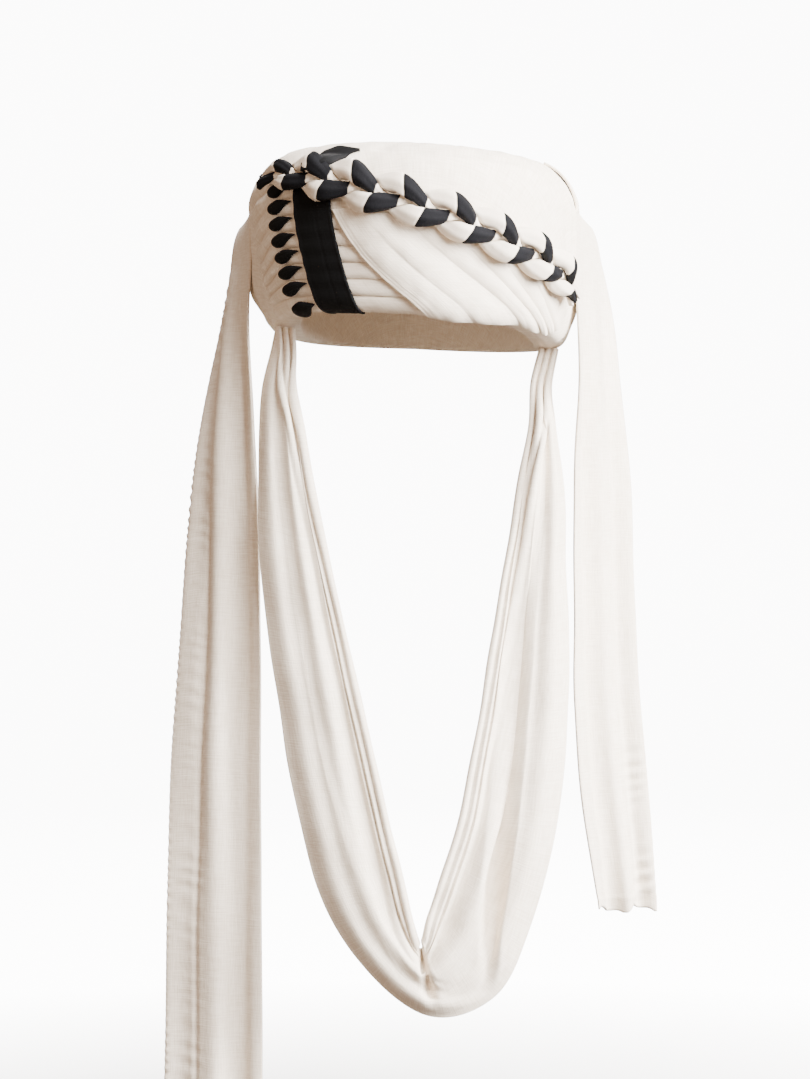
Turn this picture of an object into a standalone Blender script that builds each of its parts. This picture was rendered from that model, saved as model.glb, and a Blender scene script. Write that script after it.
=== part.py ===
"""A wound turban as it is worn: a padded crown with pressed pleats, a black band and a slantwise plait,
with two loose tails and a long cloth loop that hangs in a V on the chest.

Metres, +Z up, the front towards -Y. The origin is the seat on the head, in the middle of the rim.
Places on the crown are given as turn (degrees round from the front, positive towards +X), climb (share
of the way from the rim to the top centre) and lift (metres outwards from the crown's surface).
"""

import math
from bisect import bisect_right
from collections import namedtuple

import bmesh
import bpy
from mathutils import Vector

# Driving sizes of the crown and of the head that it fits
CROWN_HALF_WIDTH = 0.1135
CROWN_HALF_DEPTH = 0.126
CROWN_HEIGHT = 0.118
CROWN_SLANT = 0.04  # how much lower it sits for each metre towards +X
HEAD_HALF_WIDTH = 0.0815
HEAD_HALF_DEPTH = 0.099
HOLLOW_HEIGHT = 0.098
WRAP_DEPTH = 0.0025  # valleys between the turns of cloth at the back

# Driving sizes of the layers laid on the crown
CLOTH = 0.0017
LAYER_GAP = 0.0007
PLEAT_RISE = 0.0024
BAND_WIDTH = 0.030
BAND_CLOTH = 0.0013
CORNER_RISE = 0.0015
TIP_COUNT = 8
TIP_LENGTH = 0.026
TIP_HEIGHT = 0.0098
TIP_RISE = 0.0028
TIP_FROM_BAND = 0.0043
TIP_NARROWED = 0.75  # the share of its height that it loses towards its point
TIP_POINT_UP = 0.75  # how far its point is raised, in half heights, so that its top edge runs level
SWATH_FOLD_RISE = 0.0016

# Driving sizes of the plait
PLAIT_PERIOD = 0.1029  # along the plait, until a strand is back on the same side
STRAND_RADIUS = 0.0068
STRAND_SWING = 0.0085  # sideways from the middle of the plait
STRAND_ARCH = 0.0052  # from its middle to its top
STRAND_BOB = 0.0037  # up and down as it crosses the others
STRAND_HEIGHT = 0.0056  # middle of the strands over what they lie on
STRAND_GAP = 0.0009

# Driving sizes of the tails and the loop
TAIL_CLOTH = 0.0024
TAIL_REST = 0.0020  # middle of the tail's cloth over the crown, where it lies on it
LONG_TAIL_DROP = 0.533
SHORT_TAIL_DROP = 0.4055
TAIL_FOLD_RISE = 0.0024
TAIL_FOLDS = 2
LOOP_CLOTH = 0.0026
LOOP_HALF_SPREAD = 0.100
LOOP_DROP = 0.464
LOOP_FORWARD = 0.113
LOOP_BULGE = 0.009
LOOP_FOLD_RISE = 0.0022
LOOP_FOLDS = 2.5
LOOP_OPENS = 0.25  # the share of its forward reach where its folds and its bulge are full

# How finely each form is cut
CROWN_STEPS = 48
CROWN_RINGS = 18
HOLLOW_RINGS = 5
PLEAT_COLUMNS = 12
ROWS_PER_PLEAT = 3
SWATH_ROWS = 11
COLUMNS_PER_FOLD = 3
BAND_COLUMNS = 3
BAND_ROWS = 18
TIP_STEPS = 9
STRAND_RINGS = 80
STRAND_SIDES = 8
TAIL_COLUMNS = 6
TAIL_ROWS = 21
TAIL_ROWS_CLOSER = 1.6  # above 1, its rows lie closer together near the crown
LOOP_COLUMNS = 8
LOOP_ROWS = 40

# The crown's outline from rim to top, as shares of its half width or depth, and of its height
Profile = namedtuple("Profile", "climb front_reach side_reach rise")
CROWN_PROFILE = [
    Profile(0.000, 0.800, 0.820, 0.000),
    Profile(0.042, 0.880, 0.895, 0.018),
    Profile(0.079, 0.915, 0.945, 0.080),
    Profile(0.156, 0.950, 0.985, 0.220),
    Profile(0.254, 0.985, 0.995, 0.400),
    Profile(0.351, 1.000, 1.000, 0.580),
    Profile(0.440, 0.985, 0.985, 0.745),
    Profile(0.510, 0.930, 0.930, 0.865),
    Profile(0.577, 0.830, 0.830, 0.945),
    Profile(0.656, 0.680, 0.680, 0.985),
    Profile(0.773, 0.450, 0.450, 0.998),
    Profile(1.000, 0.000, 0.000, 1.000),
]
FRONT_TO_SIDE = (55, 85)  # turns between which the front outline becomes the side outline

# How far the rim dips, as a share of the crown's height
Rim = namedtuple("Rim", "turn dip")
CROWN_RIM = [
    Rim(-180, 0.085),
    Rim(-110, 0.095),
    Rim(-82, 0.060),
    Rim(-55, -0.010),
    Rim(0, -0.025),
    Rim(35, 0.000),
    Rim(60, 0.050),
    Rim(82, 0.100),
    Rim(110, 0.105),
    Rim(180, 0.085),
]

# The hollow for the head, as shares of the head's half width or depth and of the hollow's height
Hollow = namedtuple("Hollow", "climb reach rise")
HEAD_HOLLOW = [
    Hollow(0.00, 1.00, 0.00),
    Hollow(0.17, 1.00, 0.17),
    Hollow(0.35, 0.97, 0.40),
    Hollow(0.52, 0.88, 0.62),
    Hollow(0.70, 0.69, 0.82),
    Hollow(0.86, 0.38, 0.95),
    Hollow(1.00, 0.00, 1.00),
]
WRAPS_UP = 7  # turns of cloth from rim to top at the back
WRAPS_ROUND = 2  # how many of them each turn climbs on its way round

# Creases between the pleats, as climbs at the brow and at the left edge, where they draw together
Crease = namedtuple("Crease", "number brow edge")
PLEAT_CREASES = [
    Crease(0, 0.018, 0.030),
    Crease(1, 0.068, 0.062),
    Crease(2, 0.118, 0.090),
    Crease(3, 0.169, 0.120),
    Crease(4, 0.219, 0.155),
    Crease(5, 0.270, 0.195),
    Crease(6, 0.320, 0.248),
    Crease(7, 0.371, 0.312),
    Crease(8, 0.421, 0.380),
    Crease(9, 0.470, 0.440),
]
PLEAT_GATHER_FROM = -50  # the turn where they start to draw together
PLEAT_UNDER_HEM = 5.5  # degrees of turn that the pleats run on under the swath's hem

# The left edge of the pleated layer, the middle of the band and the hem of the swath
Edge = namedtuple("Edge", "climb turn")
PLEAT_LEFT_EDGE = [
    Edge(0.02, -72.0),
    Edge(0.08, -69.5),
    Edge(0.22, -72.5),
    Edge(0.32, -77.5),
    Edge(0.40, -80.0),
    Edge(0.47, -80.0),
]
BAND_MIDDLE = [
    Edge(0.042, -30.2),
    Edge(0.100, -32.0),
    Edge(0.157, -33.2),
    Edge(0.213, -34.2),
    Edge(0.270, -35.2),
    Edge(0.330, -35.9),
    Edge(0.390, -36.3),
    Edge(0.450, -36.6),
]
SWATH_HEM = [
    Edge(0.035, 4.0),
    Edge(0.087, -6.4),
    Edge(0.165, -16.2),
    Edge(0.215, -21.3),
    Edge(0.295, -27.2),
    Edge(0.345, -27.8),
    Edge(0.470, -27.8),
]

# Creases of the swath, each drawn from under the plait, through its middle, to the rim
Fold = namedtuple("Fold", "start_turn start_climb mid_turn mid_climb end_turn end_climb")
SWATH_CREASES = [
    Fold(-19.0, 0.335, 0.0, 0.150, 23.0, 0.030),
    Fold(-4.0, 0.310, 15.0, 0.165, 45.0, 0.030),
    Fold(12.0, 0.275, 34.0, 0.125, 58.0, 0.032),
    Fold(27.0, 0.235, 43.0, 0.120, 62.0, 0.040),
    Fold(41.0, 0.200, 53.0, 0.115, 64.0, 0.055),
    Fold(56.0, 0.150, 62.0, 0.110, 68.0, 0.070),
]
HEM_CLIMBS = (0.33, 0.155, 0.035)  # where the hem starts, turns and meets the rim
SWATH_SEATED = (0.17, 0.33)  # shares across, between which it comes down off the pleats to the crown
SWATH_RIDGES_RISE = (0.05, 0.30)  # shares along, between which its folds rise
SWATH_RIDGES_FADE = (0.80, 0.95)  # shares across, between which they fade

# The black cloth above the plait
Corner = namedtuple("Corner", "climb left right")
CORNER_EDGES = [
    Corner(0.480, -39.0, -30.5),
    Corner(0.490, -41.0, -30.0),
    Corner(0.505, -43.5, -28.5),
    Corner(0.530, -46.0, -24.5),
    Corner(0.560, -48.0, -27.0),
]

# The route of the plait over the crown, and how high it lies there on the layers below it
Route = namedtuple("Route", "turn climb")
PLAIT_ROUTE = [
    Route(-64.0, 0.440),
    Route(-54.4, 0.444),
    Route(-47.4, 0.444),
    Route(-36.1, 0.431),
    Route(-27.0, 0.412),
    Route(-3.7, 0.356),
    Route(11.8, 0.316),
    Route(28.9, 0.266),
    Route(43.9, 0.232),
    Route(52.3, 0.211),
    Route(60.0, 0.188),
    Route(68.0, 0.150),
]
PLAIT_LOW_LOBE = -3.7  # the turn where the first strand swings lowest
PLAIT_SEATED = (-14, 4)  # turns between which it comes down off the pleats to the swath
PLAIT_LEFT_END = 0.070  # the length over which it is drawn in
PLAIT_RIGHT_END = 0.035
PLAIT_DRAWN = 0.38  # the share of its width that is left at the very end

# The tails, from the crown down: shares of the drop, the crown's half width and its half depth
Tail = namedtuple("Tail", "drop climb near_x near_y far_x far_y")
LONG_TAIL = [
    Tail(-0.145, 0.38, 1.036, -0.095, 1.090, 0.400),
    Tail(-0.073, 0.26, 1.036, -0.095, 1.165, 0.380),
    Tail(0.020, 0.10, 1.032, -0.080, 1.246, 0.330),
    Tail(0.125, 0.00, 0.985, -0.120, 1.326, 0.240),
    Tail(0.270, 0.00, 0.953, -0.200, 1.400, 0.095),
    Tail(0.390, 0.00, 0.941, -0.270, 1.437, -0.040),
    Tail(0.566, 0.00, 0.935, -0.350, 1.497, -0.200),
    Tail(0.724, 0.00, 0.930, -0.395, 1.511, -0.295),
    Tail(1.000, 0.00, 0.926, -0.412, 1.518, -0.333),
]
SHORT_TAIL = [
    Tail(-0.190, 0.38, 1.022, -0.060, 1.080, 0.400),
    Tail(-0.113, 0.28, 1.022, -0.064, 1.163, 0.385),
    Tail(0.000, 0.10, 1.006, -0.080, 1.220, 0.350),
    Tail(0.113, 0.00, 0.966, -0.095, 1.247, 0.285),
    Tail(0.269, 0.00, 0.943, -0.145, 1.300, 0.175),
    Tail(0.515, 0.00, 0.938, -0.255, 1.330, -0.015),
    Tail(0.641, 0.00, 0.935, -0.300, 1.352, -0.095),
    Tail(0.809, 0.00, 0.982, -0.357, 1.401, -0.190),
    Tail(1.000, 0.00, 1.090, -0.397, 1.445, -0.270),
]
TAIL_ROOT_CLIMBS = (0.60, 0.53, 0.46)  # the rows that lie on the crown
LONG_TAIL_ROOT = (-86, -121)  # the turns of its near and far edge there
SHORT_TAIL_ROOT = (77, 113)
TAIL_LEAVES = (0.36, 0.46)  # climbs between which it comes away from the crown
TailStation = namedtuple("TailStation", "length climb near_x near_y near_z far_x far_y far_z")

# The loop, from each temple to the V: shares of its half spread, drop and forward reach
Loop = namedtuple("Loop", "along inner_x inner_drop outer_x outer_drop forward")
LOOP_EDGES = [
    Loop(-1.00, -0.850, 0.000, -0.990, 0.000, 0.02),
    Loop(-0.96, -0.840, 0.038, -1.015, 0.031, 0.06),
    Loop(-0.90, -0.840, 0.097, -1.060, 0.090, 0.17),
    Loop(-0.84, -0.770, 0.166, -1.085, 0.160, 0.28),
    Loop(-0.77, -0.700, 0.248, -1.087, 0.237, 0.37),
    Loop(-0.70, -0.600, 0.345, -1.070, 0.325, 0.47),
    Loop(-0.62, -0.500, 0.437, -1.035, 0.425, 0.56),
    Loop(-0.52, -0.380, 0.549, -0.945, 0.545, 0.69),
    Loop(-0.42, -0.270, 0.650, -0.875, 0.645, 0.80),
    Loop(-0.33, -0.180, 0.735, -0.790, 0.722, 0.89),
    Loop(-0.22, -0.100, 0.800, -0.660, 0.822, 0.95),
    Loop(-0.11, -0.045, 0.853, -0.420, 0.915, 0.98),
    Loop(0.00, 0.015, 0.898, 0.060, 0.998, 1.00),
    Loop(0.11, 0.070, 0.855, 0.490, 0.977, 0.98),
    Loop(0.22, 0.150, 0.800, 0.725, 0.884, 0.95),
    Loop(0.33, 0.270, 0.720, 0.910, 0.750, 0.89),
    Loop(0.42, 0.340, 0.650, 0.985, 0.638, 0.80),
    Loop(0.52, 0.425, 0.555, 1.020, 0.535, 0.69),
    Loop(0.62, 0.505, 0.455, 1.025, 0.430, 0.56),
    Loop(0.70, 0.570, 0.366, 1.020, 0.345, 0.47),
    Loop(0.77, 0.640, 0.290, 1.018, 0.270, 0.37),
    Loop(0.84, 0.705, 0.200, 1.000, 0.190, 0.28),
    Loop(0.90, 0.775, 0.120, 0.957, 0.115, 0.17),
    Loop(0.96, 0.790, 0.055, 0.940, 0.060, 0.06),
    Loop(1.00, 0.850, 0.000, 0.990, 0.000, 0.02),
]

TINY_STEP = 0.004  # of climb or of a share, for slopes
ROUND_TURN = 360


def read(table, at):
    """The row of a table at any value of its first column, on a smooth curve through its rows."""
    keys = [row[0] for row in table]
    at = min(max(at, keys[0]), keys[-1])
    low = min(bisect_right(keys, at) - 1, len(table) - 2)
    span = keys[low + 1] - keys[low]
    share = (at - keys[low]) / span
    values = [at]
    for column in range(1, len(table[0])):
        slopes = []
        for row in (low, low + 1):
            before = max(row - 1, 0)
            after = min(row + 1, len(table) - 1)
            rise = table[after][column] - table[before][column]
            slopes.append(rise / (keys[after] - keys[before]) * span)
        start = table[low][column]
        end = table[low + 1][column]
        values.append(
            start
            + (end - start) * share * share * (3 - 2 * share)
            + slopes[0] * share * (1 - share) ** 2
            - slopes[1] * share * share * (1 - share)
        )
    return type(table[0])(*values)


def eased(low, high, at):
    """0 below low, 1 above high, and a soft rise between them."""
    share = min(max((at - low) / (high - low), 0), 1)
    return share * share * (3 - 2 * share)


def mixed(first, second, share):
    return first + (second - first) * share


def slanted(point):
    """The crown sits lower towards +X, and all that lies on it does too."""
    return Vector((point.x, point.y, point.z - point.x * CROWN_SLANT))


def crown_place(turn, climb):
    """A point of the crown's surface before the slant."""
    row = read(CROWN_PROFILE, climb)
    reach = mixed(row.front_reach, row.side_reach, eased(*FRONT_TO_SIDE, abs(turn)))
    dip = read(CROWN_RIM, turn).dip * (1 - row.rise)
    angle = math.radians(turn)
    x = reach * CROWN_HALF_WIDTH * math.sin(angle)
    y = -reach * CROWN_HALF_DEPTH * math.cos(angle)
    return slanted(Vector((x, y, (row.rise - dip) * CROWN_HEIGHT)))


def crown_slopes(turn, climb):
    """How a point of the crown moves for each degree of turn, and for each whole of climb."""
    low = max(climb - TINY_STEP, 0)
    high = min(climb + TINY_STEP, 1 - TINY_STEP / 10)
    around = (crown_place(turn + 1, climb) - crown_place(turn - 1, climb)) / 2
    upward = (crown_place(turn, high) - crown_place(turn, low)) / (high - low)
    return around, upward


def crown_point(turn, climb, lift=0.0):
    around, upward = crown_slopes(turn, climb)
    return crown_place(turn, climb) + around.cross(upward).normalized() * lift


def beside(turn, climb, way):
    """The turn and climb that lie this way, in metres along the surface, from a place on the crown."""
    around, upward = crown_slopes(turn, climb)
    aa, uu, au = around.dot(around), upward.dot(upward), around.dot(upward)
    wa, wu = around.dot(way), upward.dot(way)
    room = aa * uu - au * au
    return turn + (wa * uu - wu * au) / room, climb + (wu * aa - wa * au) / room


def slab(columns, rows):
    """A closed sheet to be laid in place: x runs across it, y along it and z through it, all from 0 to 1."""
    sheet = bmesh.new()
    bmesh.ops.create_grid(sheet, x_segments=columns, y_segments=rows, size=0.5)
    bmesh.ops.translate(sheet, verts=sheet.verts, vec=(0.5, 0.5, 0))
    grown = bmesh.ops.extrude_face_region(sheet, geom=sheet.faces[:], use_keep_orig=True)
    raised = [item for item in grown["geom"] if isinstance(item, bmesh.types.BMVert)]
    bmesh.ops.translate(sheet, verts=raised, vec=(0, 0, 1))
    return sheet


def spun(profile, axis, steps):
    """A closed shape turned round an axis from a line whose ends lie on it."""
    shape = bmesh.new()
    points = [shape.verts.new(place) for place in profile]
    edges = [shape.edges.new(pair) for pair in zip(points, points[1:])]
    bmesh.ops.spin(
        shape, geom=points + edges, cent=(0, 0, 0), axis=axis, angle=math.tau, steps=steps, use_merge=True
    )
    bmesh.ops.remove_doubles(shape, verts=shape.verts, dist=1e-6)
    return shape


def disc(under_rings, over_rings, steps):
    """A round sheet of two skins: the under skin at z 0, the over skin at z 1, its edge at radius 1."""
    under = [(ring / under_rings, 0, 0) for ring in range(under_rings + 1)]
    over = [(1 - ring / over_rings, 0, 1) for ring in range(over_rings + 1)]
    return spun(under + over, (0, 0, 1), steps)


def laid(shape, place):
    """Moves each point of a plain shape to where place() says that it lies, with its faces out."""
    bmesh.ops.recalc_face_normals(shape, faces=shape.faces)
    for point in shape.verts:
        point.co = place(*point.co)
    if shape.calc_volume(signed=True) < 0:
        bmesh.ops.reverse_faces(shape, faces=shape.faces)
    return shape


def finish_of(name, colour, roughness):
    material = bpy.data.materials.new(name)
    material.use_nodes = True
    shader = material.node_tree.nodes["Principled BSDF"]
    shader.inputs["Base Color"].default_value = (*colour, 1)
    shader.inputs["Roughness"].default_value = roughness
    shader.inputs["Metallic"].default_value = 0
    return material


def add_node(name, shape, material):
    mesh = bpy.data.meshes.new(name)
    shape.to_mesh(mesh)
    shape.free()
    mesh.materials.append(material)
    mesh.shade_smooth()
    mesh.set_sharp_from_angle(angle=math.radians(50))
    node = bpy.data.objects.new(name, mesh)
    bpy.context.scene.collection.objects.link(node)
    node.parent = bpy.data.objects["turban"]


def wrap_valley(turn, climb):
    """The depth of the valleys between the turns of cloth, at the sides and back only."""
    there = eased(75, 100, abs(turn)) * eased(0.04, 0.12, climb) * (1 - eased(0.62, 0.76, climb))
    number = climb * WRAPS_UP + turn / ROUND_TURN * WRAPS_ROUND
    return WRAP_DEPTH * there * (1 - abs(math.sin(math.pi * number)))


def crown():
    def place(x, y, skin):
        turn = math.degrees(math.atan2(x, -y))
        climb = 1 - min(math.hypot(x, y), 1)
        if skin > 0.5:
            return crown_point(turn, climb, -wrap_valley(turn, climb))
        row = read(HEAD_HOLLOW, climb)
        angle = math.radians(turn)
        dip = read(CROWN_RIM, turn).dip * CROWN_HEIGHT * (1 - row.rise)
        across = row.reach * HEAD_HALF_WIDTH * math.sin(angle)
        forward = -row.reach * HEAD_HALF_DEPTH * math.cos(angle)
        return slanted(Vector((across, forward, row.rise * HOLLOW_HEIGHT - dip)))

    return laid(disc(HOLLOW_RINGS, CROWN_RINGS, CROWN_STEPS), place)


def pleated_wrap():
    pleats = PLEAT_CREASES[-1].number

    def place(across, along, skin):
        number = along * pleats
        crease = read(PLEAT_CREASES, number)
        left = read(PLEAT_LEFT_EDGE, crease.edge).turn
        right = read(SWATH_HEM, crease.brow).turn + PLEAT_UNDER_HEM
        turn = mixed(left, right, across)
        gathered = eased(PLEAT_GATHER_FROM, left, turn) if turn < PLEAT_GATHER_FROM else 0
        climb = mixed(crease.brow, crease.edge, gathered)
        ridge = math.sqrt(abs(math.sin(math.pi * number)))
        return crown_point(turn, climb, LAYER_GAP + CLOTH * skin + PLEAT_RISE * ridge * skin)

    return laid(slab(PLEAT_COLUMNS, pleats * ROWS_PER_PLEAT), place)


PLEAT_TOP = LAYER_GAP + CLOTH + PLEAT_RISE
BAND_SEAT = PLEAT_TOP + LAYER_GAP
PLAIT_LEFT_SEAT = BAND_SEAT + CLOTH + LAYER_GAP
PLAIT_RIGHT_SEAT = LAYER_GAP + CLOTH + LAYER_GAP


def black_band():
    def place(across, along, skin):
        climb = mixed(BAND_MIDDLE[0].climb, BAND_MIDDLE[-1].climb, along)
        middle = read(BAND_MIDDLE, climb).turn
        around, _ = crown_slopes(middle, climb)
        turn, climb = beside(middle, climb, around.normalized() * BAND_WIDTH * (across - 0.5))
        return crown_point(turn, climb, BAND_SEAT + BAND_CLOTH * skin)

    return laid(slab(BAND_COLUMNS, BAND_ROWS), place)


def black_corner():
    def place(across, along, skin):
        row = read(CORNER_EDGES, mixed(CORNER_EDGES[0].climb, CORNER_EDGES[-1].climb, along))
        domed = math.sin(math.pi * across)
        lift = LAYER_GAP + (CLOTH + CORNER_RISE * domed) * skin
        return crown_point(mixed(row.left, row.right, across), row.climb, lift)

    return laid(slab(3, 4), place)


def fold_tip(number):
    """A leaf-shaped tip of black cloth on one pleat: round below a level top edge, pointed at the band."""
    climb = mixed(PLEAT_CREASES[number].brow, PLEAT_CREASES[number + 1].brow, 0.5)
    band = read(BAND_MIDDLE, climb).turn
    onward = crown_slopes(band, climb)[0].normalized()
    middle, climb = beside(band, climb, -onward * (BAND_WIDTH / 2 + TIP_FROM_BAND + TIP_LENGTH / 2))
    around, upward = crown_slopes(middle, climb)

    def place(x, y, skin):
        height = 1 - TIP_NARROWED * eased(-0.3, 1, x)
        along = around.normalized() * TIP_LENGTH / 2 * x
        up = upward.normalized() * TIP_HEIGHT / 2 * (y * height + TIP_POINT_UP * eased(-0.6, 1, x))
        domed = 1 - 0.7 * (x * x + y * y)
        there = beside(middle, climb, along + up)
        return crown_point(*there, BAND_SEAT + (BAND_CLOTH / 2 + TIP_RISE * domed) * skin)

    return laid(disc(1, 2, TIP_STEPS), place)


def swath_line(fold, along):
    """A point of one crease: a curve through its start, its middle and its end."""
    start = (1 - along) * (1 - 2 * along)
    middle = 4 * along * (1 - along)
    end = along * (2 * along - 1)
    turn = fold.start_turn * start + fold.mid_turn * middle + fold.end_turn * end
    climb = fold.start_climb * start + fold.mid_climb * middle + fold.end_climb * end
    return turn, climb


def front_swath():
    hem = Fold(*(value for climb in HEM_CLIMBS for value in (read(SWATH_HEM, climb).turn, climb)))
    creases = [hem] + SWATH_CREASES
    folds = len(SWATH_CREASES)

    def place(across, along, skin):
        low = min(int(across * folds + TINY_STEP), folds - 1)
        between = across * folds - low
        left = swath_line(creases[low], along)
        right = swath_line(creases[low + 1], along)
        turn = mixed(left[0], right[0], between)
        climb = mixed(left[1], right[1], between)
        floor = mixed(BAND_SEAT, LAYER_GAP, eased(*SWATH_SEATED, across))
        there = eased(*SWATH_RIDGES_RISE, along) * (1 - eased(*SWATH_RIDGES_FADE, across))
        ridge = abs(math.sin(math.pi * across * folds)) * there
        return crown_point(turn, climb, floor + (CLOTH + SWATH_FOLD_RISE * ridge) * skin)

    return laid(slab(folds * COLUMNS_PER_FOLD, SWATH_ROWS), place)


def plait_stations():
    """The plait's length from its left end at each degree of turn, measured along its strands."""
    turns = [PLAIT_ROUTE[0].turn]
    lengths = [0.0]
    last = None
    while turns[-1] < PLAIT_ROUTE[-1].turn:
        turn = min(turns[-1] + 1, PLAIT_ROUTE[-1].turn)
        point = crown_point(turn, read(PLAIT_ROUTE, turn).climb, STRAND_HEIGHT * 2)
        if last is None:
            last = crown_point(turns[0], read(PLAIT_ROUTE, turns[0]).climb, STRAND_HEIGHT * 2)
        lengths.append(lengths[-1] + (point - last).length)
        turns.append(turn)
        last = point
    return turns, lengths


PLAIT_TURNS, PLAIT_LENGTHS = plait_stations()


def plait_turn(station):
    low = min(bisect_right(PLAIT_LENGTHS, station), len(PLAIT_LENGTHS) - 1)
    share = (station - PLAIT_LENGTHS[low - 1]) / (PLAIT_LENGTHS[low] - PLAIT_LENGTHS[low - 1])
    return mixed(PLAIT_TURNS[low - 1], PLAIT_TURNS[low], share)


def plait_point(station, across, height):
    """A point of the plait: how far along it, how far across it and how high over what it lies on."""
    turn = plait_turn(station)
    climb = read(PLAIT_ROUTE, turn).climb
    around, upward = crown_slopes(turn, climb)
    onward = around + upward * (read(PLAIT_ROUTE, turn + 1).climb - climb)
    uphill = around.cross(upward).cross(onward).normalized()
    floor = mixed(PLAIT_LEFT_SEAT, PLAIT_RIGHT_SEAT, eased(*PLAIT_SEATED, turn))
    return crown_point(*beside(turn, climb, uphill * across), floor + height)


def strand_middle(number, station, drawn):
    """Where a strand's middle lies in the section across the plait: it leaves each edge over the others."""
    turns = bisect_right(PLAIT_TURNS, PLAIT_LOW_LOBE)
    low_lobe = PLAIT_LENGTHS[turns - 1]
    phase = math.tau * ((station - low_lobe) / PLAIT_PERIOD - 0.25 + number / 3)
    across = STRAND_SWING * math.sin(phase) * drawn
    return Vector((across, STRAND_HEIGHT - STRAND_BOB * math.sin(2 * phase) * drawn))


def pressed_reach(number, station, way, drawn):
    """How far a strand reaches this way from its middle, pressed by the others and by what it lies on."""
    middles = [strand_middle(each, station, drawn) for each in range(3)]
    own = middles.pop(number)
    reach = STRAND_RADIUS * drawn
    if way.y > 0:
        reach = drawn / math.hypot(way.x / STRAND_RADIUS, way.y / STRAND_ARCH)
    if way.y < 0:
        reach = min(reach, own.y / -way.y)
    for other in middles:
        between = other - own
        facing = way.dot(between.normalized())
        if facing > 0:
            reach = min(reach, (between.length - STRAND_GAP) / 2 / facing)
    return reach


def braid_strand(number):
    length = PLAIT_LENGTHS[-1]
    between_rings = length / STRAND_RINGS / 2

    def place(along, y, z):
        station = along * length
        opened = min(eased(0, PLAIT_LEFT_END, station), eased(0, PLAIT_RIGHT_END, length - station))
        drawn = mixed(PLAIT_DRAWN, 1, opened)
        point = strand_middle(number, station, drawn)
        if math.hypot(y, z) > 0.5:
            way = Vector((y, z)).normalized()
            nearby = (station - between_rings, station, station + between_rings)
            point += way * min(pressed_reach(number, there, way, drawn) for there in nearby)
        return plait_point(station, point.x, point.y)

    side = [(ring / STRAND_RINGS, 0, 1) for ring in range(STRAND_RINGS + 1)]
    return laid(spun([(0, 0, 0)] + side + [(1, 0, 0)], (1, 0, 0), STRAND_SIDES), place)


def sheet_point(middle, across, along, skin, wall):
    """A point of a sheet that hangs free: on its middle surface, or half a wall to either side of it."""
    left = middle(across - TINY_STEP, along)
    right = middle(across + TINY_STEP, along)
    above = middle(across, along - TINY_STEP)
    below = middle(across, along + TINY_STEP)
    outward = (right - left).cross(below - above).normalized()
    return middle(across, along) + outward * wall * (skin - 0.5)


def tail(table, drop, near_turn, far_turn):
    """A loose end: it lies on the crown's shoulder, leaves it and hangs, turning to face the front."""
    side = math.copysign(1, near_turn)

    def ends(climb, near, far):
        return TailStation(0, climb, *near, *far)

    rows = [
        ends(climb, crown_point(near_turn, climb, TAIL_REST), crown_point(far_turn, climb, TAIL_REST))
        for climb in TAIL_ROOT_CLIMBS
    ]
    for row in table:
        near = Vector((side * row.near_x * CROWN_HALF_WIDTH, row.near_y * CROWN_HALF_DEPTH, -row.drop * drop))
        far = Vector((side * row.far_x * CROWN_HALF_WIDTH, row.far_y * CROWN_HALF_DEPTH, -row.drop * drop))
        rows.append(ends(row.climb, near, far))
    for number in range(1, len(rows)):
        before, row = rows[number - 1], rows[number]
        length = (Vector(row[2:5]) + Vector(row[5:8]) - Vector(before[2:5]) - Vector(before[5:8])).length / 2
        rows[number] = row._replace(length=before.length + length)

    def middle(across, along):
        row = read(rows, along * rows[-1].length)
        near, far = Vector(row[2:5]), Vector(row[5:8])
        outward = (far - near).cross(Vector((0, 0, -side))).normalized()
        hanging = near.lerp(far, across) - outward * TAIL_FOLD_RISE * math.cos(math.tau * TAIL_FOLDS * across)
        on_crown = eased(*TAIL_LEAVES, row.climb)
        lying = crown_point(mixed(near_turn, far_turn, across), row.climb, TAIL_REST)
        return hanging.lerp(lying, on_crown)

    return laid(
        slab(TAIL_COLUMNS, TAIL_ROWS),
        lambda across, along, skin: sheet_point(middle, across, along**TAIL_ROWS_CLOSER, skin, TAIL_CLOTH),
    )


def chest_loop():
    dips = [read(CROWN_RIM, side * 90).dip * CROWN_HEIGHT for side in (-1, 1)]

    def middle(across, along):
        row = read(LOOP_EDGES, 2 * along - 1)
        opened = eased(0, LOOP_OPENS, row.forward)
        bulge = LOOP_BULGE * math.sin(math.pi * across) * opened
        folded = LOOP_FOLD_RISE * math.cos(math.tau * LOOP_FOLDS * across) * opened
        x = mixed(row.inner_x, row.outer_x, across) * LOOP_HALF_SPREAD
        top = slanted(Vector((x, 0, -mixed(*dips, along) - LAYER_GAP))).z
        drop = mixed(row.inner_drop, row.outer_drop, across) * (LOOP_DROP + top)
        return Vector((x, -row.forward * LOOP_FORWARD - bulge - folded, top - drop))

    return laid(
        slab(LOOP_COLUMNS, LOOP_ROWS),
        lambda across, along, skin: sheet_point(middle, across, along, skin, LOOP_CLOTH),
    )


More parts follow.
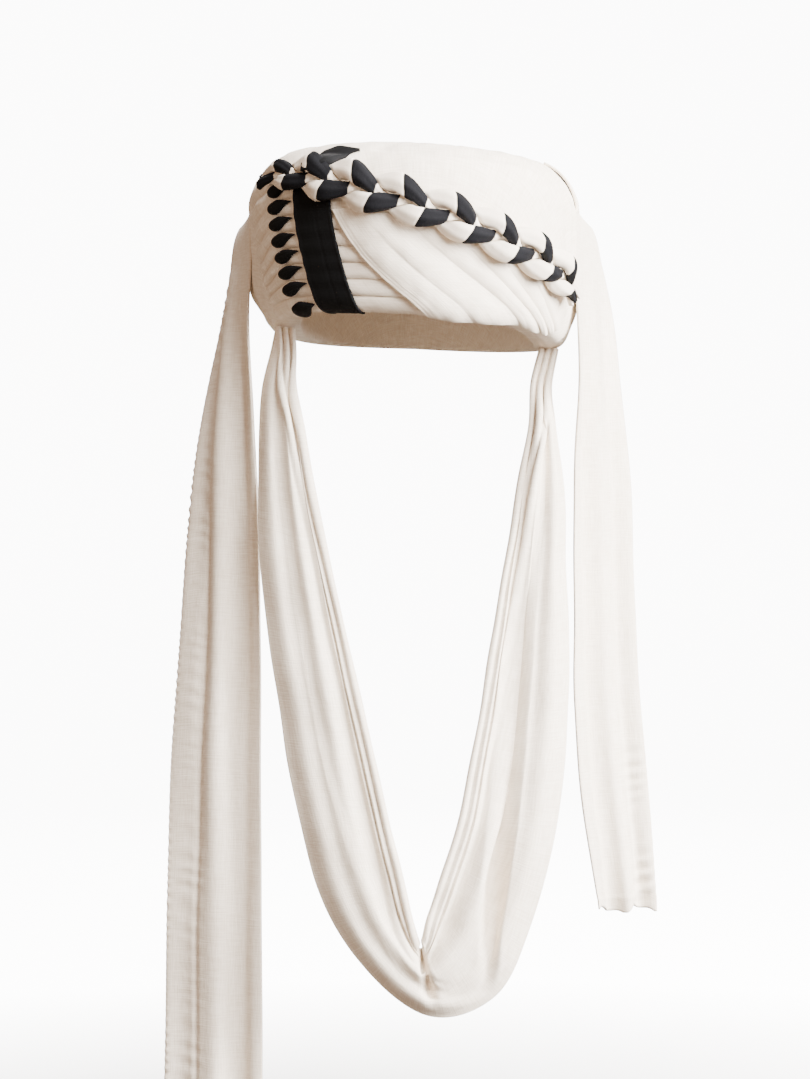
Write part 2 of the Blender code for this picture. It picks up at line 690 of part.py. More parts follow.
def main():
    for leftover in list(bpy.data.objects):
        bpy.data.objects.remove(leftover)
    turban = bpy.data.objects.new("turban", None)
    bpy.context.scene.collection.objects.link(turban)
    white = finish_of("white_cotton", (0.79, 0.75, 0.70), 0.9)
    black = finish_of("black_cotton", (0.012, 0.012, 0.015), 0.85)
    plait = finish_of("plait_cotton", (0.62, 0.59, 0.56), 0.9)

    add_node("crown", crown(), white)
    add_node("pleated_wrap", pleated_wrap(), white)
    add_node("black_band", black_band(), black)
    add_node("black_corner", black_corner(), black)
    for number in range(TIP_COUNT):
        add_node(f"fold_tip_{number + 1}", fold_tip(number), black)
    add_node("front_swath", front_swath(), white)
    for number in range(3):
        add_node(f"braid_strand_{number + 1}", braid_strand(number), plait)
    add_node("long_tail", tail(LONG_TAIL, LONG_TAIL_DROP, *LONG_TAIL_ROOT), white)
    add_node("short_tail", tail(SHORT_TAIL, SHORT_TAIL_DROP, *SHORT_TAIL_ROOT), white)
    add_node("chest_loop", chest_loop(), white)


main()
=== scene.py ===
# %% [markdown]
# # A wound turban with a plait, two tails and a chest loop
#
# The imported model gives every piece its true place. This script dresses it: each plain solid is
# replaced by a fine mesh of the same cloth, with the folds, pleats, stitched ridges and weave that the
# real one shows. Everything is in metres, +Z up, and the front faces -Y.

# %% Load the frame
import math
from collections import namedtuple

import bmesh
import bpy
import numpy as np
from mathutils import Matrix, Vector


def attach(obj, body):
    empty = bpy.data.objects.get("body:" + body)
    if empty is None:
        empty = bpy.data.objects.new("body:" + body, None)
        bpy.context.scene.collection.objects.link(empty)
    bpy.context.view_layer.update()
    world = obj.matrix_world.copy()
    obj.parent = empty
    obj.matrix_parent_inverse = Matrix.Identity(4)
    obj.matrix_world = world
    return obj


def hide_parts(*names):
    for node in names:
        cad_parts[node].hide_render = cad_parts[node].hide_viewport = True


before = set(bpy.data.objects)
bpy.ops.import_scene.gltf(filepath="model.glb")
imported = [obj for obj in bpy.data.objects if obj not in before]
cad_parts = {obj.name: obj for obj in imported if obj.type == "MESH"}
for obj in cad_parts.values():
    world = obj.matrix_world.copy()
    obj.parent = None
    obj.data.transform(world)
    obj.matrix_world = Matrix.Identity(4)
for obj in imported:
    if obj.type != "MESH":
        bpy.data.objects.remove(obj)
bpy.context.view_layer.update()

# %% [markdown]
# ## Camera
#
# The photograph looks straight at the face from about two metres, level with the chin. One pixel is
# 0.7 mm where the middle of the head is, and the lens follows from that.

# %% Camera
PHOTO_HEIGHT_PX = 1079
METRES_PER_PX = 0.0007
CAMERA_AWAY = 2.0
CAMERA_SIDE = -0.0084
CAMERA_UP = -0.150
SENSOR_MM = 36

lens_data = bpy.data.cameras.new("camera")
lens_data.sensor_fit = "VERTICAL"
lens_data.sensor_height = SENSOR_MM
lens_data.lens = SENSOR_MM * CAMERA_AWAY / (PHOTO_HEIGHT_PX * METRES_PER_PX)
camera = bpy.data.objects.new("camera", lens_data)
camera.location = (CAMERA_SIDE, -CAMERA_AWAY, CAMERA_UP)
camera.rotation_euler = (math.radians(90), 0, 0)
bpy.context.scene.collection.objects.link(camera)
bpy.context.scene.camera = camera
print("lens", round(lens_data.lens, 1), "mm")

# %% [markdown]
# ## Tools for materials and pieces
#
# One function makes a table with named columns, and others make a material and add its nodes with their
# settings and links. Patterns follow the cloth through a UV map that is measured in metres, so thread
# spacing and stitch length can be given as real sizes.


# %% Table and node helpers
def table(columns, rows):
    row_kind = namedtuple("Row", columns)
    return [row_kind(*row) for row in rows]


def feed(tree, node, inputs):
    """Gives inputs of a node a value or another node's output."""
    for socket, value in inputs.items():
        if isinstance(value, bpy.types.NodeSocket):
            tree.links.new(value, node.inputs[socket])
        else:
            node.inputs[socket].default_value = value


def add(tree, kind, inputs=None, **settings):
    """Adds a node: settings are its properties, and inputs go to feed."""
    made = tree.nodes.new(kind)
    for name, value in settings.items():
        setattr(made, name, value)
    feed(tree, made, inputs or {})
    return made


def new_material(name):
    """A new material, its node tree and its shader."""
    material = bpy.data.materials.new(name)
    material.use_nodes = True
    return material, material.node_tree, material.node_tree.nodes["Principled BSDF"]


def linear(hex_colour):
    """A colour written as in a paint program, turned to the linear values that shaders need."""
    parts = [int(hex_colour[place : place + 2], 16) / 255 for place in (1, 3, 5)]
    return tuple(((part + 0.055) / 1.055) ** 2.4 if part > 0.04045 else part / 12.92 for part in parts) + (1,)


THREAD_MM = 0.9  # across a thread: the real ones are a third of this, and drawn coarser so that they show
SLUB_MM = 14  # along a thread, until its thickness changes
print("threads", THREAD_MM, "mm, slubs", SLUB_MM, "mm")

# %% [markdown]
# ## Studio
#
# A white sweep, floor and wall in one, is spun round the turban, so every side has the same background.
# It glows away from its middle to stay white, and diffuse and glossy rays don't meet it, so it lights
# nothing. The lamps are large and soft, and the camera doesn't see them. The key comes from the right
# and the fill from the left is weaker and warmer, so the cloth turns beige towards the left as it does
# in the photograph.

# %% Floor, lamps and world
FLOOR_Z = -0.60
SWEEP_WALL = 3.8
SWEEP_BEND = 0.9
SWEEP_TOP = 3.0
SWEEP_STEPS = 96
BEND_STEPS = 12
LAMPS_AIM = Vector((0, 0, CAMERA_UP))
WORLD_COLOUR = "#e4c9b3"
WORLD_STRENGTH = 0.5
PAPER_COLOUR = "#fbfbfa"
PAPER_GLOW = 10  # light that the lit paper gives on its own, so that it stays white at every angle
GLOW_FROM = 0.65  # metres from the middle of the turban
GLOW_FULL = 1.1
LAMPS = table("name place size watts colour", [
    ("key", (0.85, -1.35, 0.62), 1.0, 112, (1.0, 0.985, 0.965)),
    ("fill", (-1.7, -1.7, 0.3), 1.5, 13, (1.0, 0.72, 0.50)),
    ("side", (1.75, -0.75, 0.3), 0.9, 225, (1.0, 0.99, 0.98)),
    ("top", (0.3, -0.4, 1.7), 0.6, 75, (1.0, 0.99, 0.98)),
    ("back", (0.2, 2.0, 1.2), 1.5, 70, (1.0, 0.98, 0.96)),
])

sweep = bmesh.new()
outline = [(0, FLOOR_Z)]
for step in range(BEND_STEPS + 1):
    at = math.radians(90 * step / BEND_STEPS)
    outline.append((SWEEP_WALL - SWEEP_BEND * (1 - math.sin(at)), FLOOR_Z + SWEEP_BEND * (1 - math.cos(at))))
outline.append((SWEEP_WALL, SWEEP_TOP))
points = [sweep.verts.new((radius, 0, z)) for radius, z in outline]
edges = [sweep.edges.new(pair) for pair in zip(points, points[1:])]
bmesh.ops.spin(sweep, geom=points + edges, axis=(0, 0, 1), cent=(0, 0, 0), angle=math.tau, steps=SWEEP_STEPS)
bmesh.ops.remove_doubles(sweep, verts=sweep.verts, dist=0.0001)
bmesh.ops.recalc_face_normals(sweep, faces=sweep.faces)
backdrop_mesh = bpy.data.meshes.new("backdrop")
sweep.to_mesh(backdrop_mesh)
sweep.free()
backdrop_mesh.shade_smooth()
paper, paper_tree, paper_shader = new_material("white_paper")
place = add(paper_tree, "ShaderNodeTexCoord").outputs["Object"]
away = add(paper_tree, "ShaderNodeVectorMath", {0: place}, operation="LENGTH").outputs["Value"]
glow = add(paper_tree, "ShaderNodeMapRange",
           {"Value": away, "From Min": GLOW_FROM, "From Max": GLOW_FULL, "To Max": PAPER_GLOW})
feed(paper_tree, paper_shader, {
    "Base Color": linear(PAPER_COLOUR), "Roughness": 1.0, "Specular IOR Level": 0.0,
    "Emission Color": (1, 1, 1, 1), "Emission Strength": glow.outputs["Result"],
})
backdrop_mesh.materials.append(paper)
backdrop = bpy.data.objects.new("backdrop", backdrop_mesh)
bpy.context.scene.collection.objects.link(backdrop)
backdrop.visible_diffuse = False
backdrop.visible_glossy = False

for lamp in LAMPS:
    light = bpy.data.lights.new(lamp.name, "AREA")
    light.size = lamp.size
    light.energy = lamp.watts
    light.color = lamp.colour
    holder = bpy.data.objects.new(lamp.name, light)
    holder.location = lamp.place
    holder.visible_camera = False
    holder.rotation_euler = (LAMPS_AIM - Vector(lamp.place)).to_track_quat("-Z", "Y").to_euler()
    bpy.context.scene.collection.objects.link(holder)

world = bpy.data.worlds.new("studio")
world.use_nodes = True
feed(world.node_tree, world.node_tree.nodes["Background"],
     {"Color": linear(WORLD_COLOUR), "Strength": WORLD_STRENGTH})
bpy.context.scene.world = world
print("lamps", len(LAMPS), "sweep points", len(outline))

# %% [markdown]
# ## Cotton
#
# The turban is fine plain-weave cotton, known as voile or rubia, washed and starched a little: matte,
# warm white, with a soft sheen at grazing angles from the loose fibres. Two noises, each drawn out along
# one way of the weave, make the threads and their slubs, and a third makes the small wrinkles that starch
# leaves. All of these are bump, because they are far below a millimetre high: folds and pleats are real
# geometry. The threads' noise also mixes each cotton's two tones.

# %% Cotton cloth
Cotton = namedtuple("Cotton", "light dark sheen roughness weave wrinkle")
WHITE = Cotton("#ece1d2", "#dccfbe", 0.12, 0.88, 0.00030, 0.0008)
BLACK = Cotton("#0b0b0d", "#060607", 0.0, 0.88, 0.00007, 0.00018)
SLUB_TONES = (0.38, 0.62)  # shares of the threads' noise where the two tones are full
CLOTH_SHINE = 0.15
SHEEN_SPREAD = 0.55
WRINKLES = {"Scale": 26, "Detail": 5, "Roughness": 0.55, "Distortion": 0.6}


def weave_and_wrinkles(tree, cotton):
    """The cloth's height pattern as a normal, and its slubs as a share from 0 to 1."""
    cloth = add(tree, "ShaderNodeUVMap", uv_map="cloth").outputs["UV"]
    own = add(tree, "ShaderNodeTexCoord").outputs["Object"]
    ways = []
    for stretch in ((1 / THREAD_MM, 1 / SLUB_MM, 1), (1 / SLUB_MM, 1 / THREAD_MM, 1)):
        drawn_out = add(tree, "ShaderNodeMapping", {"Vector": cloth, "Scale": stretch}).outputs["Vector"]
        noise = {"Vector": drawn_out, "Scale": 1000, "Detail": 1, "Roughness": 0.5}
        ways.append(add(tree, "ShaderNodeTexNoise", noise).outputs["Fac"])
    both = add(tree, "ShaderNodeMath", dict(enumerate(ways)), operation="ADD").outputs["Value"]
    threads = add(tree, "ShaderNodeMath", {0: both, 1: 1 / len(ways)}, operation="MULTIPLY").outputs["Value"]
    creases = add(tree, "ShaderNodeTexNoise", {"Vector": own, **WRINKLES}).outputs["Fac"]
    fine = add(tree, "ShaderNodeBump", {"Strength": 1, "Distance": cotton.weave, "Height": threads})
    soft = add(tree, "ShaderNodeBump", {"Strength": 1, "Distance": cotton.wrinkle, "Height": creases,
                                        "Normal": fine.outputs["Normal"]})
    return soft.outputs["Normal"], threads


def blend(tree, share, first, second):
    """Two colours mixed by a share: each is a colour or another node's output."""
    mix = add(tree, "ShaderNodeMix", {"Factor": share, "A": first, "B": second}, data_type="RGBA")
    return mix.outputs["Result"]


def cloth_finish(tree, shader, cotton, colour, normal):
    feed(tree, shader, {"Base Color": colour, "Normal": normal, "Roughness": cotton.roughness,
                        "Specular IOR Level": CLOTH_SHINE, "Sheen Weight": cotton.sheen,
                        "Sheen Roughness": SHEEN_SPREAD})


def cotton_material(name, cotton):
    material, tree, shader = new_material(name)
    normal, slubs = weave_and_wrinkles(tree, cotton)
    dark, light = SLUB_TONES
    tone = add(tree, "ShaderNodeMapRange", {"Value": slubs, "From Min": dark, "From Max": light})
    colour = blend(tree, tone.outputs["Result"], linear(cotton.dark), linear(cotton.light))
    cloth_finish(tree, shader, cotton, colour, normal)
    return material


white_cotton = cotton_material("starched_white_cotton", WHITE)
black_cotton = cotton_material("black_cotton", BLACK)
print("cottons", white_cotton.name, black_cotton.name)

# %% [markdown]
# ## The two cloths of the plait
#
# Each strand is a roll of white cloth with black cloth rolled into it, and twists as it goes: it is
# white as it comes round an edge of the plait, black as it leaves the edge and white again before it
# dives under the next strand. The mesh carries how far each point lies from the line between the
# cloths, and the shader only compares that with zero, so the line stays crisp whatever the faces' size.

# %% Plait cloth
SEAM_SOFT = 0.00025  # metres over which one cloth gives way to the other
PLAIT_BLACK = "#08080c"
PLAIT_WHITE = WHITE._replace(sheen=0.0, roughness=0.85)

plait_cotton, plait_tree, plait_shader = new_material("rolled_white_and_black_cotton")
plait_normal, plait_slubs = weave_and_wrinkles(plait_tree, PLAIT_WHITE)
seam = add(plait_tree, "ShaderNodeAttribute", attribute_name="into_black").outputs["Fac"]
black = add(plait_tree, "ShaderNodeMapRange", {"Value": seam, "From Min": -SEAM_SOFT, "From Max": SEAM_SOFT})
white = blend(plait_tree, plait_slubs, linear(PLAIT_WHITE.dark), linear(PLAIT_WHITE.light))
both_cloths = blend(plait_tree, black.outputs["Result"], white, linear(PLAIT_BLACK))
cloth_finish(plait_tree, plait_shader, PLAIT_WHITE, both_cloths, plait_normal)
CLOTHS = {"white_cotton": white_cotton, "black_cotton": black_cotton, "plait_cotton": plait_cotton}
print("plait cloth", plait_cotton.name)

# %% [markdown]
# ## Plain forms to lay in place
#
# Every piece starts as a plain form made by a bmesh operator: a grid with a second skin for a sheet, a
# spun disc or a spun tube. Its points are then moved, all at once as arrays, to where a function says
# that they lie. The form's own coordinates stay as the UV map, scaled to the cloth's real size.


# %% Sheets, discs and tubes
def slab(columns, rows):
    """A closed sheet to be laid in place: x runs across it, y along it and z through it, all from 0 to 1."""
    sheet = bmesh.new()
    bmesh.ops.create_grid(sheet, x_segments=columns, y_segments=rows, size=0.5)
    bmesh.ops.translate(sheet, verts=sheet.verts, vec=(0.5, 0.5, 0))
    grown = bmesh.ops.extrude_face_region(sheet, geom=sheet.faces[:], use_keep_orig=True)
    raised = [item for item in grown["geom"] if isinstance(item, bmesh.types.BMVert)]
    bmesh.ops.translate(sheet, verts=raised, vec=(0, 0, 1))
    return sheet


def spun(profile, axis, steps):
    """A closed shape turned round an axis from a line whose ends lie on it."""
    shape = bmesh.new()
    points = [shape.verts.new(place) for place in profile]
    edges = [shape.edges.new(pair) for pair in zip(points, points[1:])]
    bmesh.ops.spin(
        shape, geom=points + edges, cent=(0, 0, 0), axis=axis, angle=math.tau, steps=steps, use_merge=True
    )
    bmesh.ops.remove_doubles(shape, verts=shape.verts, dist=1e-6)
    return shape


def disc(under_rings, over_rings, steps):
    """A round sheet of two skins: the under skin at z 0, the over skin at z 1, its edge at radius 1."""
    under = [(ring / under_rings, 0, 0) for ring in range(under_rings + 1)]
    over = [(1 - ring / over_rings, 0, 1) for ring in range(over_rings + 1)]
    return spun(under + over, (0, 0, 1), steps)


def tube(rings, sides):
    """A closed tube of radius 1 along x from 0 to 1."""
    side = [(ring / rings, 0, 1) for ring in range(rings + 1)]
    return spun([(0, 0, 0)] + side + [(1, 0, 0)], (1, 0, 0), sides)


print("slab faces", len(slab(2, 2).faces), "disc faces", len(disc(2, 2, 8).faces))

# %% [markdown]
# A piece is one mesh object at the origin. It rides on the turban's one body, replaces its plain solid
# and takes its cloth from the name of its slot.


# %% Adding a piece
def add_piece(name, shape, place, cloth_size, slot, attribute=None):
    """Lays a plain form in place and adds it: cloth_size gives the metres of one unit of its x and y."""
    bmesh.ops.recalc_face_normals(shape, faces=shape.faces)
    mesh = bpy.data.meshes.new(name)
    shape.to_mesh(mesh)
    shape.free()
    flat = np.empty((len(mesh.vertices), 3))
    mesh.vertices.foreach_get("co", flat.ravel())
    laid = place(*flat.T)
    mesh.vertices.foreach_set("co", laid.ravel())
    mesh.calc_loop_triangles()
    corners = np.empty((len(mesh.loop_triangles), 3), dtype=int)
    mesh.loop_triangles.foreach_get("vertices", corners.ravel())
    one, two, three = laid[corners].transpose(1, 0, 2)
    if np.sum(one * np.cross(two, three)) < 0:
        mesh.flip_normals()
    mesh.update()
    mesh.materials.append(CLOTHS[slot])
    mesh.shade_smooth()
    around = np.empty(len(mesh.loops), dtype=int)
    mesh.loops.foreach_get("vertex_index", around)
    layer = mesh.uv_layers.new(name="cloth")
    layer.data.foreach_set("uv", (flat[around, :2] * cloth_size).ravel())
    if attribute is not None:
        mesh.attributes.new(attribute[0], "FLOAT", "POINT").data.foreach_set("value", attribute[1](*flat.T))
    piece = bpy.data.objects.new(name, mesh)
    bpy.context.scene.collection.objects.link(piece)
    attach(piece, "root")
    print(name, len(corners), "triangles")
    return piece


# %% [markdown]
# ## Reading tables and uneven cloth
#
# Short tables hold the outlines, a row for each section, and a smooth curve runs through their rows.
# Real cloth is never even, so a few waves of different lengths and directions make soft ripples. The
# same seed always gives the same ones.


# %% Curves and ripples
def read(rows, column, at):
    """A column of a table at any values of its first column, on a smooth curve through its rows."""
    keys = np.array([row[0] for row in rows], dtype=float)
    values = np.array([getattr(row, column) for row in rows], dtype=float)
    at = np.clip(at, keys[0], keys[-1])
    low = np.clip(np.searchsorted(keys, at, side="right") - 1, 0, len(keys) - 2)
    slopes = np.gradient(values)
    slopes[1:-1] = (values[2:] - values[:-2]) / (keys[2:] - keys[:-2])
    slopes[0] = (values[1] - values[0]) / (keys[1] - keys[0])
    slopes[-1] = (values[-1] - values[-2]) / (keys[-1] - keys[-2])
    span = keys[low + 1] - keys[low]
    share = (at - keys[low]) / span
    bend = share * share * (3 - 2 * share)
    enter = slopes[low] * span * share * (1 - share) ** 2
    leave = slopes[low + 1] * span * share * share * (1 - share)
    return values[low] + (values[low + 1] - values[low]) * bend + enter - leave


def reads(rows, columns, at):
    return [read(rows, column, at) for column in columns.split()]


def eased(low, high, at):
    """0 below low, 1 above high, and a soft rise between them."""
    share = np.clip((at - low) / (high - low), 0, 1)
    return share * share * (3 - 2 * share)


def plateau(rise, fall, at):
    """1 between two soft flanks, each given by where it starts and where it ends."""
    return eased(*rise, at) * (1 - eased(*fall, at))


def mixed(first, second, share):
    return first + (second - first) * share


def bump(at, middle, half_width):
    """A soft bump of height 1 round a middle."""
    return np.exp(-(((at - middle) / half_width) ** 2))


def ripples(u, v, size, seed):
    """Soft unevenness, mostly between -1 and 1, whose waves are about this size in metres."""
    chance = np.random.default_rng(seed)
    total = np.zeros_like(u)
    for _ in range(7):
        way = chance.uniform(0, math.tau)
        length = size * chance.uniform(0.7, 1.7)
        along = u * math.cos(way) + v * math.sin(way)
        total += np.sin(along * math.tau / length + chance.uniform(0, math.tau))
    return total / 3


CRESTS = "height middle half_width"
DENTS = "height across down size seed"


def crests(rows, at):
    """The soft bumps of a table, added up."""
    return sum(row.height * bump(at, row.middle, row.half_width) for row in rows)


def dents(rows, u, v):
    """The ripples of a table, added up: across and down turn u and v to metres."""
    return sum(row.height * ripples(u * row.across, v * row.down, row.size, row.seed) for row in rows)


def unit(vectors):
    return vectors / np.maximum(np.linalg.norm(vectors, axis=-1, keepdims=True), 1e-9)


print("eased", eased(0, 1, np.array([0.25, 0.75])))

# %% [markdown]
# ## The crown's surface
#
# Everything on the turban is laid on its crown, so its surface is a function first: a turn round the
# head, a climb from the rim to the top and a lift off the surface give a point. The outline is wider
# at the brow's height than at the rim, and the rim dips behind the temples.

# %% Crown surface
CROWN_HALF_WIDTH = 0.1135
CROWN_HALF_DEPTH = 0.126
CROWN_HEIGHT = 0.118
CROWN_SLANT = 0.04
HEAD_HALF_WIDTH = 0.0815
HEAD_HALF_DEPTH = 0.099
HOLLOW_HEIGHT = 0.098
FRONT_TO_SIDE = (55, 85)
CROWN_PROFILE = table("climb front_reach side_reach rise", [
    (0.000, 0.800, 0.820, 0.000),
    (0.042, 0.880, 0.895, 0.018),
    (0.079, 0.915, 0.945, 0.080),
    (0.156, 0.950, 0.985, 0.220),
    (0.254, 0.985, 0.995, 0.400),
    (0.351, 1.000, 1.000, 0.580),
    (0.440, 0.985, 0.985, 0.745),
    (0.510, 0.930, 0.930, 0.865),
    (0.577, 0.830, 0.830, 0.945),
    (0.656, 0.680, 0.680, 0.985),
    (0.773, 0.450, 0.450, 0.998),
    (1.000, 0.000, 0.000, 1.000),
])
CROWN_RIM = table("turn dip", [
    (-180, 0.085), (-110, 0.095), (-82, 0.020), (-55, -0.035),
    (0, -0.025), (35, 0.000), (60, 0.050), (82, 0.100),
    (110, 0.105), (180, 0.085),
])


def crown_place(turn, climb):
    """Points of the crown's bare surface."""
    front, side, rise = reads(CROWN_PROFILE, "front_reach side_reach rise", climb)
    reach = mixed(front, side, eased(*FRONT_TO_SIDE, np.abs(turn)))
    dip = read(CROWN_RIM, "dip", turn) * (1 - rise)
    angle = np.radians(turn)
    x = reach * CROWN_HALF_WIDTH * np.sin(angle)
    y = -reach * CROWN_HALF_DEPTH * np.cos(angle)
    return np.stack([x, y, (rise - dip) * CROWN_HEIGHT - x * CROWN_SLANT], axis=-1)


def crown_slopes(turn, climb):
    """How a point of the crown moves for each degree of turn, and for each whole of climb."""
    low, high = np.maximum(climb - 0.004, 0), np.minimum(climb + 0.004, 0.9996)
    around = (crown_place(turn + 1, climb) - crown_place(turn - 1, climb)) / 2
    upward = (crown_place(turn, high) - crown_place(turn, low)) / (high - low)[..., None]
    return around, upward


def crown_point(turn, climb, lift):
    around, upward = crown_slopes(turn, climb)
    return crown_place(turn, climb) + unit(np.cross(around, upward)) * np.asarray(lift)[..., None]


def beside(turn, climb, way):
    """The turn and climb that lie this way, in metres along the surface, from places on the crown."""
    around, upward = crown_slopes(turn, climb)
    aa, uu, au = (np.sum(one * other, axis=-1) for one, other in
                  ((around, around), (upward, upward), (around, upward)))
    wa, wu = np.sum(around * way, axis=-1), np.sum(upward * way, axis=-1)
    room = aa * uu - au * au
    return turn + (wa * uu - wu * au) / room, climb + (wu * aa - wa * au) / room


METRES_PER_TURN = 0.0021
METRES_PER_CLIMB = 0.27
print("brow point", crown_point(np.array([0.0]), np.array([0.2]), np.array([0.0])).round(4))

# %% [markdown]
# ## The crown
#
# On the real turban this is a padded cap with metres of cloth wound round it. At the back the turns of
# cloth show as overlapping rolls, at the sides they turn upright where the tails leave, and over the
# top one layer's edge makes a soft line. One closed disc of two skins makes it: the lower skin is the
# hollow for the head, and both are the same surface with relief added.

# %% Crown relief
WRAPS_UP = 7
WRAPS_ROUND = 2
WRAP_DEPTH = 0.0025
WRAP_TURNS = (75, 100)
WRAP_CLIMBS = ((0.04, 0.12), (0.62, 0.76))
SHOULDER_RISE = 0.0042
SHOULDER_CLIMBS = ((0.02, 0.15), (0.40, 0.56))
UPRIGHT_CLIMBS = ((0.05, 0.20), (0.45, 0.60))
TOP_LAYER_STEP = 0.0012
TOP_LAYER_TURNS = ((-30, -10), (74, 84))
TOP_LAYER_FADES = ((-0.012, 0.012), (0.05, 0.20))
LINING_RISE = 0.0007
CROWN_DENTS = table(DENTS, [(0.0007, 1, 1, 0.06, 3), (0.00025, 1, 1, 0.016, 4)])
HEAD_HOLLOW = table("climb reach rise", [
    (0.00, 1.00, 0.00), (0.17, 1.00, 0.17), (0.35, 0.97, 0.40),
    (0.52, 0.88, 0.62), (0.70, 0.69, 0.82), (0.86, 0.38, 0.95),
    (1.00, 0.00, 1.00),
])
TOP_LAYER_EDGE = table("turn climb", [
    (-30, 0.560), (-5, 0.530), (15, 0.525), (35, 0.520),
    (52, 0.500), (66, 0.465), (80, 0.400),
])


def crown_relief(turn, climb):
    """How far the wound cloth stands off the plain crown: rolls behind, folds beside, a layer edge on top."""
    number = climb * WRAPS_UP + turn / 360 * WRAPS_ROUND
    behind = eased(*WRAP_TURNS, np.abs(turn)) * plateau(*WRAP_CLIMBS, climb)
    rolls = -WRAP_DEPTH * behind * (1 - np.abs(np.sin(math.pi * number)))
    left = bump(turn, -93, 17) * plateau(*SHOULDER_CLIMBS, climb)
    shoulder = left * (SHOULDER_RISE + 0.0010 * np.sin(turn * 0.9 - 3 * climb))
    beside_tails = bump(np.abs(turn), 70, 9) * plateau(*UPRIGHT_CLIMBS, climb)
    upright = 0.0009 * beside_tails * np.sin(turn * 0.85 + 2.5 * climb)
    above = climb - read(TOP_LAYER_EDGE, "climb", turn)
    edge = -TOP_LAYER_STEP * plateau(*TOP_LAYER_TURNS, turn) * plateau(*TOP_LAYER_FADES, above)
    soft = dents(CROWN_DENTS, turn * METRES_PER_TURN, climb * METRES_PER_CLIMB)
    return rolls + shoulder + upright + edge + soft * plateau((0.0, 0.1), (0.85, 1), climb)


def crown_skins(x, y, skin):
    turn = np.degrees(np.arctan2(x, -y))
    climb = 1 - np.minimum(np.hypot(x, y), 1)
    outside = crown_point(turn, climb, crown_relief(turn, climb))
    angle = np.radians(turn)
    rise = read(HEAD_HOLLOW, "rise", climb)
    gathers = np.abs(np.sin(angle * 13)) * plateau((0.1, 0.5), (0.9, 1.0), climb)
    reach = read(HEAD_HOLLOW, "reach", climb) - gathers * LINING_RISE / HEAD_HALF_WIDTH
    dip = read(CROWN_RIM, "dip", turn) * CROWN_HEIGHT * (1 - rise)
    across = reach * HEAD_HALF_WIDTH * np.sin(angle)
    deep = -reach * HEAD_HALF_DEPTH * np.cos(angle)
    inside = np.stack([across, deep, rise * HOLLOW_HEIGHT - dip - across * CROWN_SLANT], axis=-1)
    return np.where(skin[:, None] > 0.5, outside, inside)


crown = add_piece("wound_crown", disc(36, 150, 360), crown_skins, 0.17, "white_cotton")
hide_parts("crown")

# %% [markdown]
# ## Pressed pleats
#
# The brow is covered by nine pleats, ironed flat and laid one over another. Towards the left they are
# drawn together into cords that run down to the rim. Each pleat rises quickly from its crease, stays
# full and tucks under the next, so its section is a skewed arch and not a sine.

# %% Pleated layer
CLOTH = 0.0017
LAYER_GAP = 0.0007
PLEAT_RISE = 0.0024
PLEAT_GATHER_FROM = -50
PLEAT_UNDER_HEM = 5.5  # degrees that the pleats run on under the swath
PLEAT_SKEW = 0.75  # how much quicker than even the cloth leaves each crease
PLEAT_DENTS = table(DENTS, [(0.00025, 1, 2.5, 0.03, 11)])
PLEAT_CREASES = table("number brow edge", [
    (0, 0.004, 0.004), (1, 0.068, 0.062), (2, 0.118, 0.090),
    (3, 0.169, 0.120), (4, 0.219, 0.155), (5, 0.270, 0.195),
    (6, 0.320, 0.248), (7, 0.371, 0.312), (8, 0.421, 0.380),
    (9, 0.470, 0.440),
])
PLEAT_LEFT_EDGE = table("climb turn", [
    (0.02, -72.0), (0.08, -69.5), (0.22, -72.5), (0.32, -77.5),
    (0.40, -80.0), (0.47, -80.0),
])
SWATH_HEM = table("climb turn", [
    (0.035, 4.0), (0.087, -6.4), (0.165, -16.2), (0.215, -21.3),
    (0.295, -27.2), (0.345, -27.8), (0.470, -27.8),
])


def pleated(across, along, skin):
    number = along * PLEAT_CREASES[-1].number
    number = number - PLEAT_SKEW * np.sin(math.tau * number) / math.tau
    brow, edge = reads(PLEAT_CREASES, "brow edge", number)
    left = read(PLEAT_LEFT_EDGE, "turn", edge)
    right = read(SWATH_HEM, "turn", brow) + PLEAT_UNDER_HEM
    turn = mixed(left, right, across)
    gathered = eased(0, 1, np.clip((PLEAT_GATHER_FROM - turn) / (PLEAT_GATHER_FROM - left), 0, 1))
    climb = mixed(brow, edge, gathered)
    share = number % 1
    arch = np.clip(np.sin(math.pi * share), 0, 1) ** mixed(0.42, 0.8, gathered) * (1.08 - 0.3 * share)
    soft = dents(PLEAT_DENTS, turn * METRES_PER_TURN, climb * METRES_PER_CLIMB)
    rolled = eased(0, 0.018, across)
    deep = PLEAT_RISE * (1.1 + 0.9 * gathered * eased(0.0, 0.22, across))
    lift = LAYER_GAP + (CLOTH + deep * arch + soft) * skin * mixed(0.35, 1, rolled)
    return crown_point(turn, climb, lift)


pleats = add_piece("pleated_wrap_cloth", slab(130, 9 * 18), pleated, (0.15, 0.13), "white_cotton")
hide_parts("pleated_wrap")

# %% [markdown]
# ## The black band
#
# A strip of black cotton folded to three centimetres lies up the left of the brow, over the pleats,
# and turns under the rim. It is flat cloth: only its folded edges, the crease along its middle and the
# pleats beneath it give it any relief.

